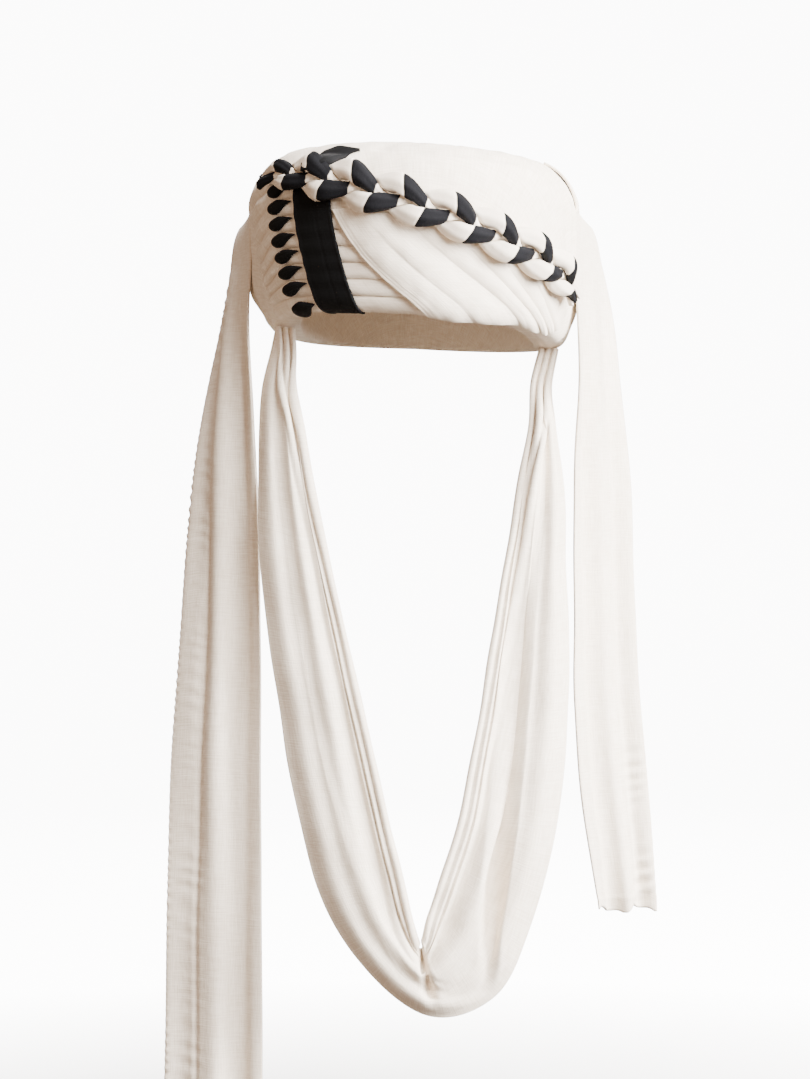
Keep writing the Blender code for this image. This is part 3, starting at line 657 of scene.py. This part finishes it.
# %% Black band
PLEAT_TOP = LAYER_GAP + CLOTH + PLEAT_RISE
BAND_SEAT = PLEAT_TOP + LAYER_GAP
BAND_WIDTH = 0.030
BAND_CLOTH = 0.0013
BAND_END_NARROWED = 0.80  # where it turns under the rim
BAND_TURNS_IN = (0.0, 0.05)
PLEATS_SHOW = 0.00025  # how much of the pleats' relief the band takes on
PLEAT_STEP = 0.0505  # climb from one pleat to the next beneath it
BAND_FOLDS = table(CRESTS, [(0.0004, 0.02, 0.035), (0.0004, 0.98, 0.035), (-0.0003, 0.60, 0.018)])
BAND_MIDDLE = table("climb turn", [
    (0.006, -29.2), (0.042, -30.2), (0.100, -32.0), (0.157, -33.2),
    (0.213, -34.2), (0.270, -35.2), (0.330, -35.9), (0.390, -36.3),
    (0.450, -36.6),
])


def banded(across, along, skin):
    climb = mixed(BAND_MIDDLE[0].climb, BAND_MIDDLE[-1].climb, along)
    middle = read(BAND_MIDDLE, "turn", climb)
    onward = unit(crown_slopes(middle, climb)[0])
    above_rim = eased(*BAND_TURNS_IN, climb)
    narrowed = mixed(BAND_END_NARROWED, 1, above_rim)
    turn, there = beside(middle, climb, onward * (BAND_WIDTH * (across - 0.5) * narrowed)[:, None])
    over_pleats = PLEATS_SHOW * np.sin(math.tau * (climb - PLEAT_CREASES[0].brow) / PLEAT_STEP)
    raised = BAND_CLOTH + crests(BAND_FOLDS, across) + over_pleats
    lift = mixed(PLEAT_TOP * 0.8, BAND_SEAT, above_rim) + raised * skin
    return crown_point(turn, there, lift)


band = add_piece("folded_black_band", slab(30, 150), banded, (0.03, 0.12), "black_cotton")
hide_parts("black_band")

# %% [markdown]
# ## Black tips
#
# Eight tips of the same black cloth are tucked into the pleats beside the band, like leaves: a level
# top edge, a round belly and a point at the band. Each is a small spun disc pulled to that outline and
# domed, because the folded cloth is springy.

# %% Fold tips
TIP_COUNT = 8
TIP_LENGTH = 0.026
TIP_HEIGHT = 0.0092
TIP_RISE = 0.0028
TIP_FROM_BAND = 0.0033
TIP_NARROWED = 0.75
TIP_POINT_UP = 0.75


def tip_shape(number):
    climb = np.array([mixed(PLEAT_CREASES[number].brow, PLEAT_CREASES[number + 1].brow, 0.5)])
    band_turn = read(BAND_MIDDLE, "turn", climb)
    onward = unit(crown_slopes(band_turn, climb)[0])
    middle, level = beside(band_turn, climb, -onward * (BAND_WIDTH / 2 + TIP_FROM_BAND + TIP_LENGTH / 2))
    around, upward = crown_slopes(middle, level)

    def place(x, y, skin):
        height = 1 - TIP_NARROWED * eased(-0.3, 1, x)
        along = unit(around) * (TIP_LENGTH / 2 * x)[:, None]
        up = unit(upward) * (TIP_HEIGHT / 2 * (y * height + TIP_POINT_UP * eased(-0.6, 1, x)))[:, None]
        domed = np.sqrt(np.clip(1.05 - x * x - y * y, 0, 1))
        fold = -0.0003 * bump(y, 0.25, 0.12) * (1 - eased(0.5, 0.9, np.abs(x)))
        turn, there = beside(middle, level, along + up)
        return crown_point(turn, there, BAND_SEAT + (BAND_CLOTH / 2 + TIP_RISE * domed + fold) * skin)

    return place


for number in range(TIP_COUNT):
    tip = add_piece(f"black_tip_{number + 1}", disc(6, 14, 40), tip_shape(number), TIP_LENGTH / 2,
                    "black_cotton")
    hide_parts(f"fold_tip_{number + 1}")

# %% [markdown]
# ## The front swath
#
# The last turn of white cloth comes out from under the plait and is drawn down to the right over the
# pleats. Its hem is stitched, which leaves two fine lines beside its edge, and its folds fan out from
# the place at the lower right where it is tucked in: sharp there, and soft under the plait.

# %% Front swath
SWATH_FOLD_RISE = 0.0016
SWATH_SEATED = (0.17, 0.33)
HEM_CLIMBS = (0.33, 0.155, 0.035)
SWATH_MINOR_RISE = 0.0003
SWATH_HEM_RELIEF = table(CRESTS, [(-0.00028, 0.018, 0.004), (-0.00028, 0.034, 0.004), (0.0002, 0.006, 0.008)])
SWATH_DENTS = table(DENTS, [(0.0004, 1, 1, 0.05, 21), (0.00022, 1, 1, 0.014, 22)])
hem_row = [float(value) for climb in HEM_CLIMBS for value in (read(SWATH_HEM, "turn", climb), climb)]
SWATH_CREASES = table("start_turn start_climb mid_turn mid_climb end_turn end_climb", [
    hem_row,
    (-19.0, 0.335, 0.0, 0.150, 23.0, 0.030),
    (-4.0, 0.310, 15.0, 0.165, 45.0, 0.030),
    (12.0, 0.275, 34.0, 0.125, 58.0, 0.032),
    (27.0, 0.235, 43.0, 0.120, 62.0, 0.040),
    (41.0, 0.200, 53.0, 0.115, 64.0, 0.055),
    (56.0, 0.150, 62.0, 0.110, 68.0, 0.070),
])
SWATH_FOLDS = len(SWATH_CREASES) - 1


def crease_values(name, across):
    """A value of the creases between the hem and the last of them, straight from one to the next."""
    values = [getattr(fold, name) for fold in SWATH_CREASES]
    return np.interp(across * SWATH_FOLDS, np.arange(len(values)), values)


def swathed(across, along, skin):
    start = (1 - along) * (1 - 2 * along)
    middle = 4 * along * (1 - along)
    end = along * (2 * along - 1)
    turn, climb = (
        crease_values(f"start_{name}", across) * start
        + crease_values(f"mid_{name}", across) * middle
        + crease_values(f"end_{name}", across) * end
        for name in ("turn", "climb")
    )
    floor = mixed(BAND_SEAT, LAYER_GAP, eased(*SWATH_SEATED, across))
    tucked = 1 - eased(0.86, 1.0, across)
    ridge = np.abs(np.sin(math.pi * across * SWATH_FOLDS)) ** 0.8 * eased(0.02, 0.45, along) * tucked
    minor = np.abs(np.sin(math.pi * (across * SWATH_FOLDS * 2 + 0.3 * along))) * eased(0.5, 0.9, along) * tucked
    hem = crests(SWATH_HEM_RELIEF, across)
    soft = dents(SWATH_DENTS, turn * METRES_PER_TURN, climb * METRES_PER_CLIMB)
    lift = floor + (CLOTH + SWATH_FOLD_RISE * ridge + SWATH_MINOR_RISE * minor + hem + soft) * skin
    return crown_point(turn, climb, lift)


swath = add_piece("front_swath_cloth", slab(SWATH_FOLDS * 30, 120), swathed, (0.15, 0.13),
                  "white_cotton")
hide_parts("front_swath")

# %% [markdown]
# ## The black corner
#
# Above the plait a corner of the band's cloth comes out again, tapering to the right along the top of
# the crown. It is a single layer, a little raised in its middle where it turns over.

# %% Black corner
CORNER_EDGES = table("climb left right", [
    (0.430, -36.5, -31.0), (0.455, -37.0, -28.5), (0.485, -37.5, -26.5),
    (0.508, -37.5, -25.0), (0.520, -37.0, -23.5), (0.530, -36.0, -21.5),
    (0.538, -34.0, -26.0),
])
CORNER_RISE = 0.0015
FLAP_OVER_PLAIT = 0.015  # its lower edge lies on the plait's upper lobes


def cornered(across, along, skin):
    climb = mixed(CORNER_EDGES[0].climb, CORNER_EDGES[-1].climb, along)
    turn = mixed(*reads(CORNER_EDGES, "left right", climb), across)
    over_plait = FLAP_OVER_PLAIT * (1 - eased(0.15, 0.75, along))
    lift = LAYER_GAP + (CLOTH + over_plait + CORNER_RISE * np.sin(math.pi * across)) * skin
    return crown_point(turn, climb, lift)


black_flap = add_piece("black_flap", slab(40, 30), cornered, (0.03, 0.02), "black_cotton")
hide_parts("black_corner")

# %% [markdown]
# ## The plait
#
# Three rolls of cloth are plaited and laid over the crown. In a section across the plait each strand's
# middle follows a figure of eight, and it is pressed by the other two: its surface reaches half way to
# them and no further. That gives the swollen, leaning lobes of a real plait without any simulation.

# %% Route of the plait
PLAIT_PERIOD = 0.1029
PLAIT_LOW_LOBE = -0.3  # degrees round the crown, where a lower lobe has its middle
PLAIT_SEATED = (-14, 4)
PLAIT_LEFT_END = 0.075
PLAIT_RIGHT_END = 0.035
PLAIT_DRAWN = 0.45  # the share of its width that is left at both ends
PLAIT_MIDDLE = 0.0112  # how high over the crown its length is measured
PLAIT_LEFT_SEAT = BAND_SEAT
PLAIT_RIGHT_SEAT = LAYER_GAP + CLOTH + LAYER_GAP
STRAND_RADIUS = 0.0070
STRAND_SWELLS = 0.36  # the share by which it is thinner where it crosses than at the edges
STRAND_SWING = 0.0073
STRAND_STEEPER = 0.10  # how much faster it goes down across the plait than up, in radians of the period
STRAND_SQUARER = 0.02  # how much longer it stays at each edge of the plait than a plain wave does
STRAND_ARCH = 0.0064
STRAND_BOB = 0.0037
STRAND_DIVES = 0.40  # how much sooner than half way across it dives under the next one, in radians
STRAND_HEIGHT = 0.0056
PLAIT_ROUTE = table("turn climb", [
    (-58.5, 0.430), (-54.4, 0.436), (-47.4, 0.437), (-36.1, 0.424),
    (-27.0, 0.409), (-3.7, 0.357), (11.8, 0.318), (28.9, 0.268),
    (43.9, 0.233), (52.3, 0.211), (60.0, 0.186), (67.0, 0.150),
])
plait_turns = np.arange(PLAIT_ROUTE[0].turn, PLAIT_ROUTE[-1].turn + 0.5)
plait_heights = np.full(len(plait_turns), PLAIT_MIDDLE)
plait_line = crown_point(plait_turns, read(PLAIT_ROUTE, "climb", plait_turns), plait_heights)
plait_lengths = np.concatenate([[0], np.cumsum(np.linalg.norm(np.diff(plait_line, axis=0), axis=1))])
plait_low_lobe = np.interp(PLAIT_LOW_LOBE, plait_turns, plait_lengths)
print("plait length", round(plait_lengths[-1], 4), "m")


def plait_point(station, across, height):
    """Points of the plait: how far along it, how far across it and how high over what it lies on."""
    turn = np.interp(station, plait_lengths, plait_turns)
    climb = read(PLAIT_ROUTE, "climb", turn)
    around, upward = crown_slopes(turn, climb)
    onward = around + upward * (read(PLAIT_ROUTE, "climb", turn + 1) - climb)[:, None]
    uphill = unit(np.cross(np.cross(around, upward), onward))
    floor = mixed(PLAIT_LEFT_SEAT, PLAIT_RIGHT_SEAT, eased(*PLAIT_SEATED, turn))
    return crown_point(*beside(turn, climb, uphill * across[:, None]), floor + height)


# %% [markdown]
# A strand leaves each edge of the plait over its neighbours and comes back under them. The line where
# its black cloth starts is slanted round it: earlier on the outside of the bend than on the inside. All
# of these lines are given in degrees of the strand's way, half a turn from one edge to the other.

# %% Strands
STRAND_GAP = 0.0002
BLACK_FROM = {"upper": 17, "lower": 21}  # where black starts in the middle of the roll, after each edge
BLACK_LEAN = {"upper": 9, "lower": 5}  # how much earlier it starts outside the bend, and later inside
BLACK_UNTIL = 80  # where it gives way to white again, before the strand dives
SEAM_DEPTH = 0.00035
SEAM_HALF_WIDTH = 0.0007
ROLL_RISE = 0.00022
SOFTNESS = 7  # how gently a strand's round surface turns into the faces pressed by its neighbours


def strand_phase(number, station):
    phase = math.tau * ((station - plait_low_lobe) / PLAIT_PERIOD - 0.25 + number / 3)
    return phase - STRAND_STEEPER * np.sin(phase)


def strand_middle(number, station, drawn):
    """Where a strand's middle lies in the section across the plait: it leaves each edge over the others."""
    phase = strand_phase(number, station)
    bob = STRAND_BOB * np.sin(2 * phase + STRAND_DIVES) * drawn
    across = STRAND_SWING * (np.sin(phase) + STRAND_SQUARER * np.sin(3 * phase)) * drawn
    return np.stack([across, STRAND_HEIGHT - bob], axis=-1)


def plait_drawn(station):
    left = eased(0, PLAIT_LEFT_END, station)
    right = eased(0, PLAIT_RIGHT_END, plait_lengths[-1] - station)
    return mixed(PLAIT_DRAWN, 1, np.minimum(left, right))


def pressed_reach(number, station, way, drawn):
    """How far a strand reaches this way from its middle, pressed by the others and by what it lies on."""
    middles = [strand_middle(each, station, drawn) for each in range(3)]
    own = middles.pop(number)
    upper = np.where(way[:, 1] > 0, STRAND_ARCH, STRAND_RADIUS)
    swollen = 1 - STRAND_SWELLS * np.cos(strand_phase(number, station)) ** 2
    free = drawn * swollen / np.hypot(way[:, 0] / STRAND_RADIUS, way[:, 1] / upper)
    tight = free**-SOFTNESS
    floor = own[:, 1] / np.maximum(-way[:, 1], 1e-6)
    tight += np.where(way[:, 1] < 0, floor, 1e3) ** -SOFTNESS
    for other in middles:
        between = other - own
        away = np.linalg.norm(between, axis=1)
        facing = np.sum(way * between, axis=1) / away
        limit = (away - STRAND_GAP) / 2 / np.maximum(facing, 1e-6)
        tight += np.where(facing > 0, limit, 1e3) ** -SOFTNESS
    return tight ** (-1 / SOFTNESS)


def into_black(number):
    """How far a point of a strand lies inside its black cloth, in metres along it, negative in the white."""

    def distance(along, y, z):
        station = along * plait_lengths[-1]
        phase = np.degrees(strand_phase(number, station))
        after = (phase - 90) % 180
        upper = ((phase - 90) // 180) % 2 == 0
        outer = np.where(upper, 1, -1) * y / np.maximum(np.hypot(y, z), 1e-6)
        start, lean = (np.where(upper, way["upper"], way["lower"]) for way in (BLACK_FROM, BLACK_LEAN))
        start = start - lean * outer
        nearer = np.minimum(after - start, BLACK_UNTIL - after)
        return nearer / 360 * PLAIT_PERIOD

    return distance


def strand_shape(number):
    line = into_black(number)

    def place(along, y, z):
        station = along * plait_lengths[-1]
        drawn = plait_drawn(station)
        middle = strand_middle(number, station, drawn)
        radius = np.hypot(y, z)
        way = np.stack([y, z], axis=-1) / np.maximum(radius, 1e-6)[:, None]
        way[radius < 0.5] = (0, 1)
        reach = pressed_reach(number, station, way, drawn)
        groove = SEAM_DEPTH * bump(line(along, y, z), 0, SEAM_HALF_WIDTH)
        rolls = ROLL_RISE * np.sin(np.arctan2(y, z) * 6 + station * 110)
        point = middle + way * np.where(radius < 0.5, 0, reach - groove + rolls)[:, None]
        return plait_point(station, point[:, 0], np.maximum(point[:, 1], 0.0001))

    return place


for number in range(3):
    strand = add_piece(
        f"plait_strand_{number + 1}", tube(520, 48), strand_shape(number), (0.27, 0.02),
        "plait_cotton", ("into_black", into_black(number)),
    )
    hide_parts(f"braid_strand_{number + 1}")

# %% [markdown]
# ## The tails
#
# Two loose ends of the cloth lie on the crown's shoulders, leave it and hang. Each turns as it falls,
# until it faces the front, and keeps two soft folds along its length. The long one has a ruffled
# selvage on its outer side, and the short one ends in a narrow stitched hem.

# %% Tail tables
TAIL_CLOTH = 0.0018
TAIL_REST = 0.0010
LONG_TAIL_DROP = 0.533
SHORT_TAIL_DROP = 0.4055
TAIL_FOLD_RISE = 0.0024
TAIL_FOLDS = 2
LONG_TAIL = table("drop climb near_x near_y far_x far_y", [
    (-0.145, 0.38, 1.018, -0.095, 1.090, 0.400),
    (-0.073, 0.26, 1.018, -0.095, 1.195, 0.380),
    (0.020, 0.10, 1.016, -0.080, 1.310, 0.330),
    (0.125, 0.00, 0.985, -0.120, 1.392, 0.240),
    (0.270, 0.00, 0.953, -0.200, 1.454, 0.095),
    (0.390, 0.00, 0.941, -0.270, 1.475, -0.040),
    (0.566, 0.00, 0.935, -0.350, 1.519, -0.200),
    (0.724, 0.00, 0.930, -0.395, 1.525, -0.295),
    (1.000, 0.00, 0.926, -0.412, 1.535, -0.333),
])
SHORT_TAIL = table("drop climb near_x near_y far_x far_y", [
    (-0.190, 0.38, 0.956, -0.270, 1.080, 0.400),
    (-0.113, 0.28, 0.956, -0.270, 1.163, 0.385),
    (0.000, 0.10, 0.960, -0.240, 1.220, 0.350),
    (0.113, 0.00, 0.962, -0.180, 1.247, 0.285),
    (0.269, 0.00, 0.943, -0.145, 1.300, 0.175),
    (0.515, 0.00, 0.938, -0.255, 1.330, -0.015),
    (0.641, 0.00, 0.935, -0.300, 1.352, -0.095),
    (0.809, 0.00, 0.982, -0.357, 1.401, -0.190),
    (1.000, 0.00, 1.090, -0.397, 1.445, -0.270),
])
TAIL_ROOT_CLIMBS = (0.60, 0.53, 0.46)
LONG_TAIL_ROOT = (-86, -121)
SHORT_TAIL_ROOT = (77, 113)
TAIL_LEAVES = (0.36, 0.46)
TailStation = namedtuple("TailStation", "length climb near_x near_y near_z far_x far_y far_z")


def sheet_point(middle, across, along, skin, wall, relief):
    """Points of a sheet that hangs free: half a wall to either side of its middle surface, plus relief."""
    step = 0.002
    sideways = middle(across + step, along) - middle(across - step, along)
    downward = middle(across, along + step) - middle(across, along - step)
    outward = unit(np.cross(sideways, downward))
    return middle(across, along) + outward * (wall * (skin - 0.5) + relief)[:, None]


def tail_middle(stations, drop, near_turn, far_turn):
    """The middle surface of a tail as a function of the shares across and along it, and its length."""
    side = math.copysign(1, near_turn)
    rows = []
    for climb in TAIL_ROOT_CLIMBS:
        near, far = (
            crown_point(np.array([float(turn)]), np.array([climb]), np.array([TAIL_REST]))[0]
            for turn in (near_turn, far_turn)
        )
        rows.append(TailStation(0, climb, *near, *far))
    for row in stations:
        near = (side * row.near_x * CROWN_HALF_WIDTH, row.near_y * CROWN_HALF_DEPTH, -row.drop * drop)
        far = (side * row.far_x * CROWN_HALF_WIDTH, row.far_y * CROWN_HALF_DEPTH, -row.drop * drop)
        rows.append(TailStation(0, row.climb, *near, *far))
    for number in range(1, len(rows)):
        before, row = np.array(rows[number - 1]), np.array(rows[number])
        step = np.linalg.norm(row[2:5] + row[5:8] - before[2:5] - before[5:8]) / 2
        rows[number] = rows[number]._replace(length=before[0] + step)
    length = rows[-1].length

    def middle(across, along):
        at = along * length
        climb = read(rows, "climb", at)
        near = np.stack(reads(rows, "near_x near_y near_z", at), axis=-1)
        far = np.stack(reads(rows, "far_x far_y far_z", at), axis=-1)
        outward = unit(np.cross(far - near, np.array([0, 0, -side])))
        folds = TAIL_FOLD_RISE * np.cos(math.tau * TAIL_FOLDS * across) * (1 - eased(0, 0.3, climb))
        hanging = mixed(near, far, across[:, None]) - outward * folds[:, None]
        on_crown = eased(*TAIL_LEAVES, climb)[:, None]
        lying = crown_point(mixed(near_turn, far_turn, across), climb, np.full(len(across), TAIL_REST))
        return mixed(hanging, lying, on_crown)

    return middle, length


long_middle, long_length = tail_middle(LONG_TAIL, LONG_TAIL_DROP, *LONG_TAIL_ROOT)
short_middle, short_length = tail_middle(SHORT_TAIL, SHORT_TAIL_DROP, *SHORT_TAIL_ROOT)
print("tail lengths", round(long_length, 3), round(short_length, 3), "m")

# %% [markdown]
# The relief of each tail is worked out in metres along the cloth: a crease or two beside the main
# folds, the ruffles of the selvage with the small puckers that they throw, and soft dents. It fades
# near the crown, where the cloth is drawn tight.

# %% Tails
RUFFLE_PITCH = 0.0064
RUFFLE_RISE = 0.0010
PUCKER_PITCH = 0.011
LONG_PUCKER_RISE = 0.0004
SHORT_PUCKER_RISE = 0.0013
TAIL_HEM = 0.010
EDGE_TURNED_BACK = 0.009
LONG_TAIL_CRESTS = table(CRESTS, [(0.0022, 0.47, 0.10), (-0.0012, 0.17, 0.06)])
SHORT_TAIL_CRESTS = table(CRESTS, [(0.0018, 0.40, 0.12), (-0.0014, 0.16, 0.05), (-0.0009, 0.70, 0.05)])
LONG_TAIL_DENTS = table(DENTS, [(0.0012, 0.07, 0.08, 0.022, 31), (0.0006, 0.07, 1, 0.09, 33)])
SHORT_TAIL_DENTS = table(DENTS, [(0.0011, 0.06, 0.08, 0.022, 32), (0.0006, 0.06, 1, 0.09, 34)])


def long_tail_relief(across, along):
    down = along * long_length
    hanging = eased(0.10, 0.22, along)
    uneven = 2.2 * np.sin(down * 31) + 1.7 * np.sin(down * 83 + 1) + 1.1 * np.sin(down * 157)
    strong = 0.65 + 0.35 * np.sin(down * 47 + 2)
    ruffle = RUFFLE_RISE * strong * np.sin(down * math.tau / RUFFLE_PITCH + uneven) * eased(0.90, 1.0, across)
    pucker = LONG_PUCKER_RISE * strong * np.sin(down * math.tau / (RUFFLE_PITCH * 1.9) + across * 9 + uneven)
    pucker = pucker * bump(across, 0.74, 0.13)
    folds = crests(LONG_TAIL_CRESTS, across)
    crease = -0.0016 * bump(across, 0.66 + 0.02 * np.sin(down * 14), 0.03)
    edge = crease - EDGE_TURNED_BACK * eased(0.70, 1.05, across)
    soft = dents(LONG_TAIL_DENTS, across, down)
    return (ruffle + pucker + folds + edge + soft) * hanging


def short_tail_relief(across, along):
    down = along * short_length
    hanging = eased(0.12, 0.26, along)
    folds = crests(SHORT_TAIL_CRESTS, across)
    low = eased(0.72, 0.86, along) * bump(across, 0.84, 0.13)
    uneven = 2.0 * np.sin(down * 41) + 1.5 * np.sin(down * 97 + 1)
    strong = 0.5 + 0.5 * np.sin(down * 71 + 3 * across)
    pucker = SHORT_PUCKER_RISE * strong * np.sin(down * math.tau / PUCKER_PITCH + across * 9 + uneven) * low
    stitch = -0.0006 * bump(down, short_length - TAIL_HEM, 0.0010)
    hem = stitch + 0.0005 * eased(-TAIL_HEM, 0, down - short_length)
    wave = 0.0020 * np.sin(across * math.tau * 1.6) * eased(0.9, 1.0, along)
    soft = dents(SHORT_TAIL_DENTS, across, down)
    return (folds + pucker + wave + soft) * hanging + hem


def tail_shape(middle, relief, hem_wave):
    def place(across, along, skin):
        end = eased(0.93, 1.0, along) * hem_wave
        along = along - end * (0.5 + 0.5 * np.sin(across * math.tau * 1.7 + 0.6) + 0.25 * np.sin(across * 23))
        return sheet_point(middle, across, along, skin, TAIL_CLOTH, relief(across, along))

    return place


for name, rows, middle, relief, hem_wave, width, length in (
    ("long_tail", 420, long_middle, long_tail_relief, 0.002, 0.075, long_length),
    ("short_tail", 340, short_middle, short_tail_relief, 0.008, 0.06, short_length),
):
    shape = tail_shape(middle, relief, hem_wave)
    tail = add_piece(f"{name}_cloth", slab(70, rows), shape, (width, length), "white_cotton")
    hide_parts(name)

# %% [markdown]
# ## The chest loop
#
# The end of the cloth is carried from one temple down over the chest and up to the other, so it hangs
# in a V. Along its inner edge run three stitched ridges, its middle bulges in soft rolls, and at the V
# the two halves fold over each other and leave dark pockets.

# %% Loop table
LOOP_CLOTH = 0.0020
LOOP_HALF_SPREAD = 0.100
LOOP_DROP = 0.464
LOOP_FORWARD = 0.113
LOOP_BULGE = 0.009
LOOP_FOLD_RISE = 0.0022
LOOP_FOLDS = 2.5
LOOP_OPENS = 0.25
LOOP_SET_BACK = 0.013  # how far the left strand's outer edge lies behind its inner one
LOOP_EDGES = table("along inner_x inner_drop outer_x outer_drop forward", [
    (-1.00, -0.850, 0.000, -0.990, 0.000, 0.02),
    (-0.96, -0.840, 0.038, -1.015, 0.031, 0.06),
    (-0.90, -0.840, 0.097, -1.060, 0.090, 0.17),
    (-0.84, -0.770, 0.166, -1.085, 0.160, 0.28),
    (-0.77, -0.700, 0.248, -1.087, 0.237, 0.37),
    (-0.70, -0.600, 0.345, -1.070, 0.325, 0.47),
    (-0.62, -0.500, 0.437, -1.035, 0.425, 0.56),
    (-0.52, -0.380, 0.549, -0.945, 0.545, 0.69),
    (-0.42, -0.270, 0.650, -0.875, 0.645, 0.80),
    (-0.33, -0.180, 0.735, -0.790, 0.722, 0.89),
    (-0.22, -0.100, 0.800, -0.660, 0.822, 0.95),
    (-0.11, -0.045, 0.853, -0.420, 0.915, 0.98),
    (0.00, 0.015, 0.898, 0.060, 0.998, 1.00),
    (0.11, 0.070, 0.855, 0.490, 0.977, 0.98),
    (0.22, 0.150, 0.800, 0.725, 0.884, 0.95),
    (0.33, 0.270, 0.720, 0.910, 0.750, 0.89),
    (0.42, 0.340, 0.650, 0.985, 0.638, 0.80),
    (0.52, 0.425, 0.555, 1.020, 0.535, 0.69),
    (0.62, 0.505, 0.455, 1.025, 0.430, 0.56),
    (0.70, 0.570, 0.366, 1.020, 0.345, 0.47),
    (0.77, 0.640, 0.290, 1.018, 0.270, 0.37),
    (0.84, 0.705, 0.200, 1.000, 0.190, 0.28),
    (0.90, 0.775, 0.120, 0.957, 0.115, 0.17),
    (0.96, 0.790, 0.055, 0.940, 0.060, 0.06),
    (1.00, 0.850, 0.000, 0.990, 0.000, 0.02),
])
loop_dips = [float(read(CROWN_RIM, "dip", side * 90)) * CROWN_HEIGHT for side in (-1, 1)]


def loop_middle(across, along):
    at = 2 * along - 1
    inner_x, inner_drop, outer_x, outer_drop, forward = reads(
        LOOP_EDGES, "inner_x inner_drop outer_x outer_drop forward", at)
    opened = eased(0, LOOP_OPENS, forward)
    bulge = LOOP_BULGE * np.sin(math.pi * across) * opened
    folded = LOOP_FOLD_RISE * np.cos(math.tau * LOOP_FOLDS * across) * opened
    x = mixed(inner_x, outer_x, across) * LOOP_HALF_SPREAD
    set_back = LOOP_SET_BACK * across * opened * (1 - eased(-0.35, 0.0, at))
    top = -mixed(*loop_dips, along) - LAYER_GAP - x * CROWN_SLANT
    drop = mixed(inner_drop, outer_drop, across) * (LOOP_DROP + top)
    return np.stack([x, -forward * LOOP_FORWARD - bulge - folded + set_back, top - drop], axis=-1)


# %% [markdown]
# The stitched ridges keep their distance from the inner edge in millimetres, so the strand's width has
# to be known at each place. They are rounded cords with narrow grooves between, which draw the fine lines
# that the photograph shows, and they end where the cloth bunches up at the V. A deep valley runs down the
# loop, deepest half way up the right strand.

# %% Loop relief
RIDGE_PITCH = 0.0046
RIDGE_COUNT = 3
RIDGE_RISE = 0.0033
RIDGE_ROUNDED = 0.7
CROSSING_DEPTH = 0.0085  # of the pocket where the two halves fold over each other
BUNCH_RISE = 0.0008
BUNCH_PITCH = 0.010
HALF_LENGTH = 0.55
LOOP_DENTS = table(DENTS, [(0.0011, 0.06, 0.07, 0.020, 41), (0.0008, 0.06, 1, 0.08, 42)])
VALLEY_DEPTH = 0.0160
VALLEY_FLANKS = ((-0.014, 0), (0, 0.007))  # metres beside its bottom
LOOP_VALLEY = table("along across depth", [
    (-1.0, 0.45, 0.10), (-0.5, 0.50, 0.15), (-0.1, 0.40, 0.10),
    (0.1, 0.85, 0.20), (0.2, 0.66, 0.70), (0.33, 0.50, 1.00),
    (0.5, 0.44, 1.00), (0.62, 0.42, 0.60), (0.75, 0.45, 0.20),
    (1.0, 0.45, 0.10),
])


def loop_relief(across, along):
    at = 2 * along - 1
    step = loop_middle(np.ones_like(along), along) - loop_middle(np.zeros_like(along), along)
    width = np.linalg.norm(step, axis=1)
    from_inner = across * width
    beyond = 1 - bump(at, 0, 0.05)
    cords = np.abs(np.sin(math.pi * from_inner / RIDGE_PITCH)) ** RIDGE_ROUNDED
    ridges = RIDGE_RISE * cords * (from_inner < RIDGE_PITCH * RIDGE_COUNT) * beyond
    bottom, depth = reads(LOOP_VALLEY, "across depth", at)
    deep = -VALLEY_DEPTH * depth * plateau(*VALLEY_FLANKS, (across - bottom) * width)
    down = at * HALF_LENGTH
    crossing = -CROSSING_DEPTH * bump(at, 0.004 + 0.012 * across, 0.011) * (1 - eased(0.55, 0.9, across))
    around = np.hypot(down - 0.030, (across - 0.30) * 0.07)
    bunch = BUNCH_RISE * np.sin(around * math.tau / BUNCH_PITCH) * bump(around, 0.024, 0.009)
    bunch = bunch * (1 - eased(0.02, 0.06, at))
    soft = dents(LOOP_DENTS, across, down)
    return ridges + deep + crossing + bunch + soft * eased(0, 0.15, 1 - np.abs(at))


def looped(across, along, skin):
    return sheet_point(loop_middle, across, along, skin, LOOP_CLOTH, loop_relief(across, along))


loop = add_piece("chest_loop_cloth", slab(84, 440), looped, (0.055, 1.1), "white_cotton")
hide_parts("chest_loop")
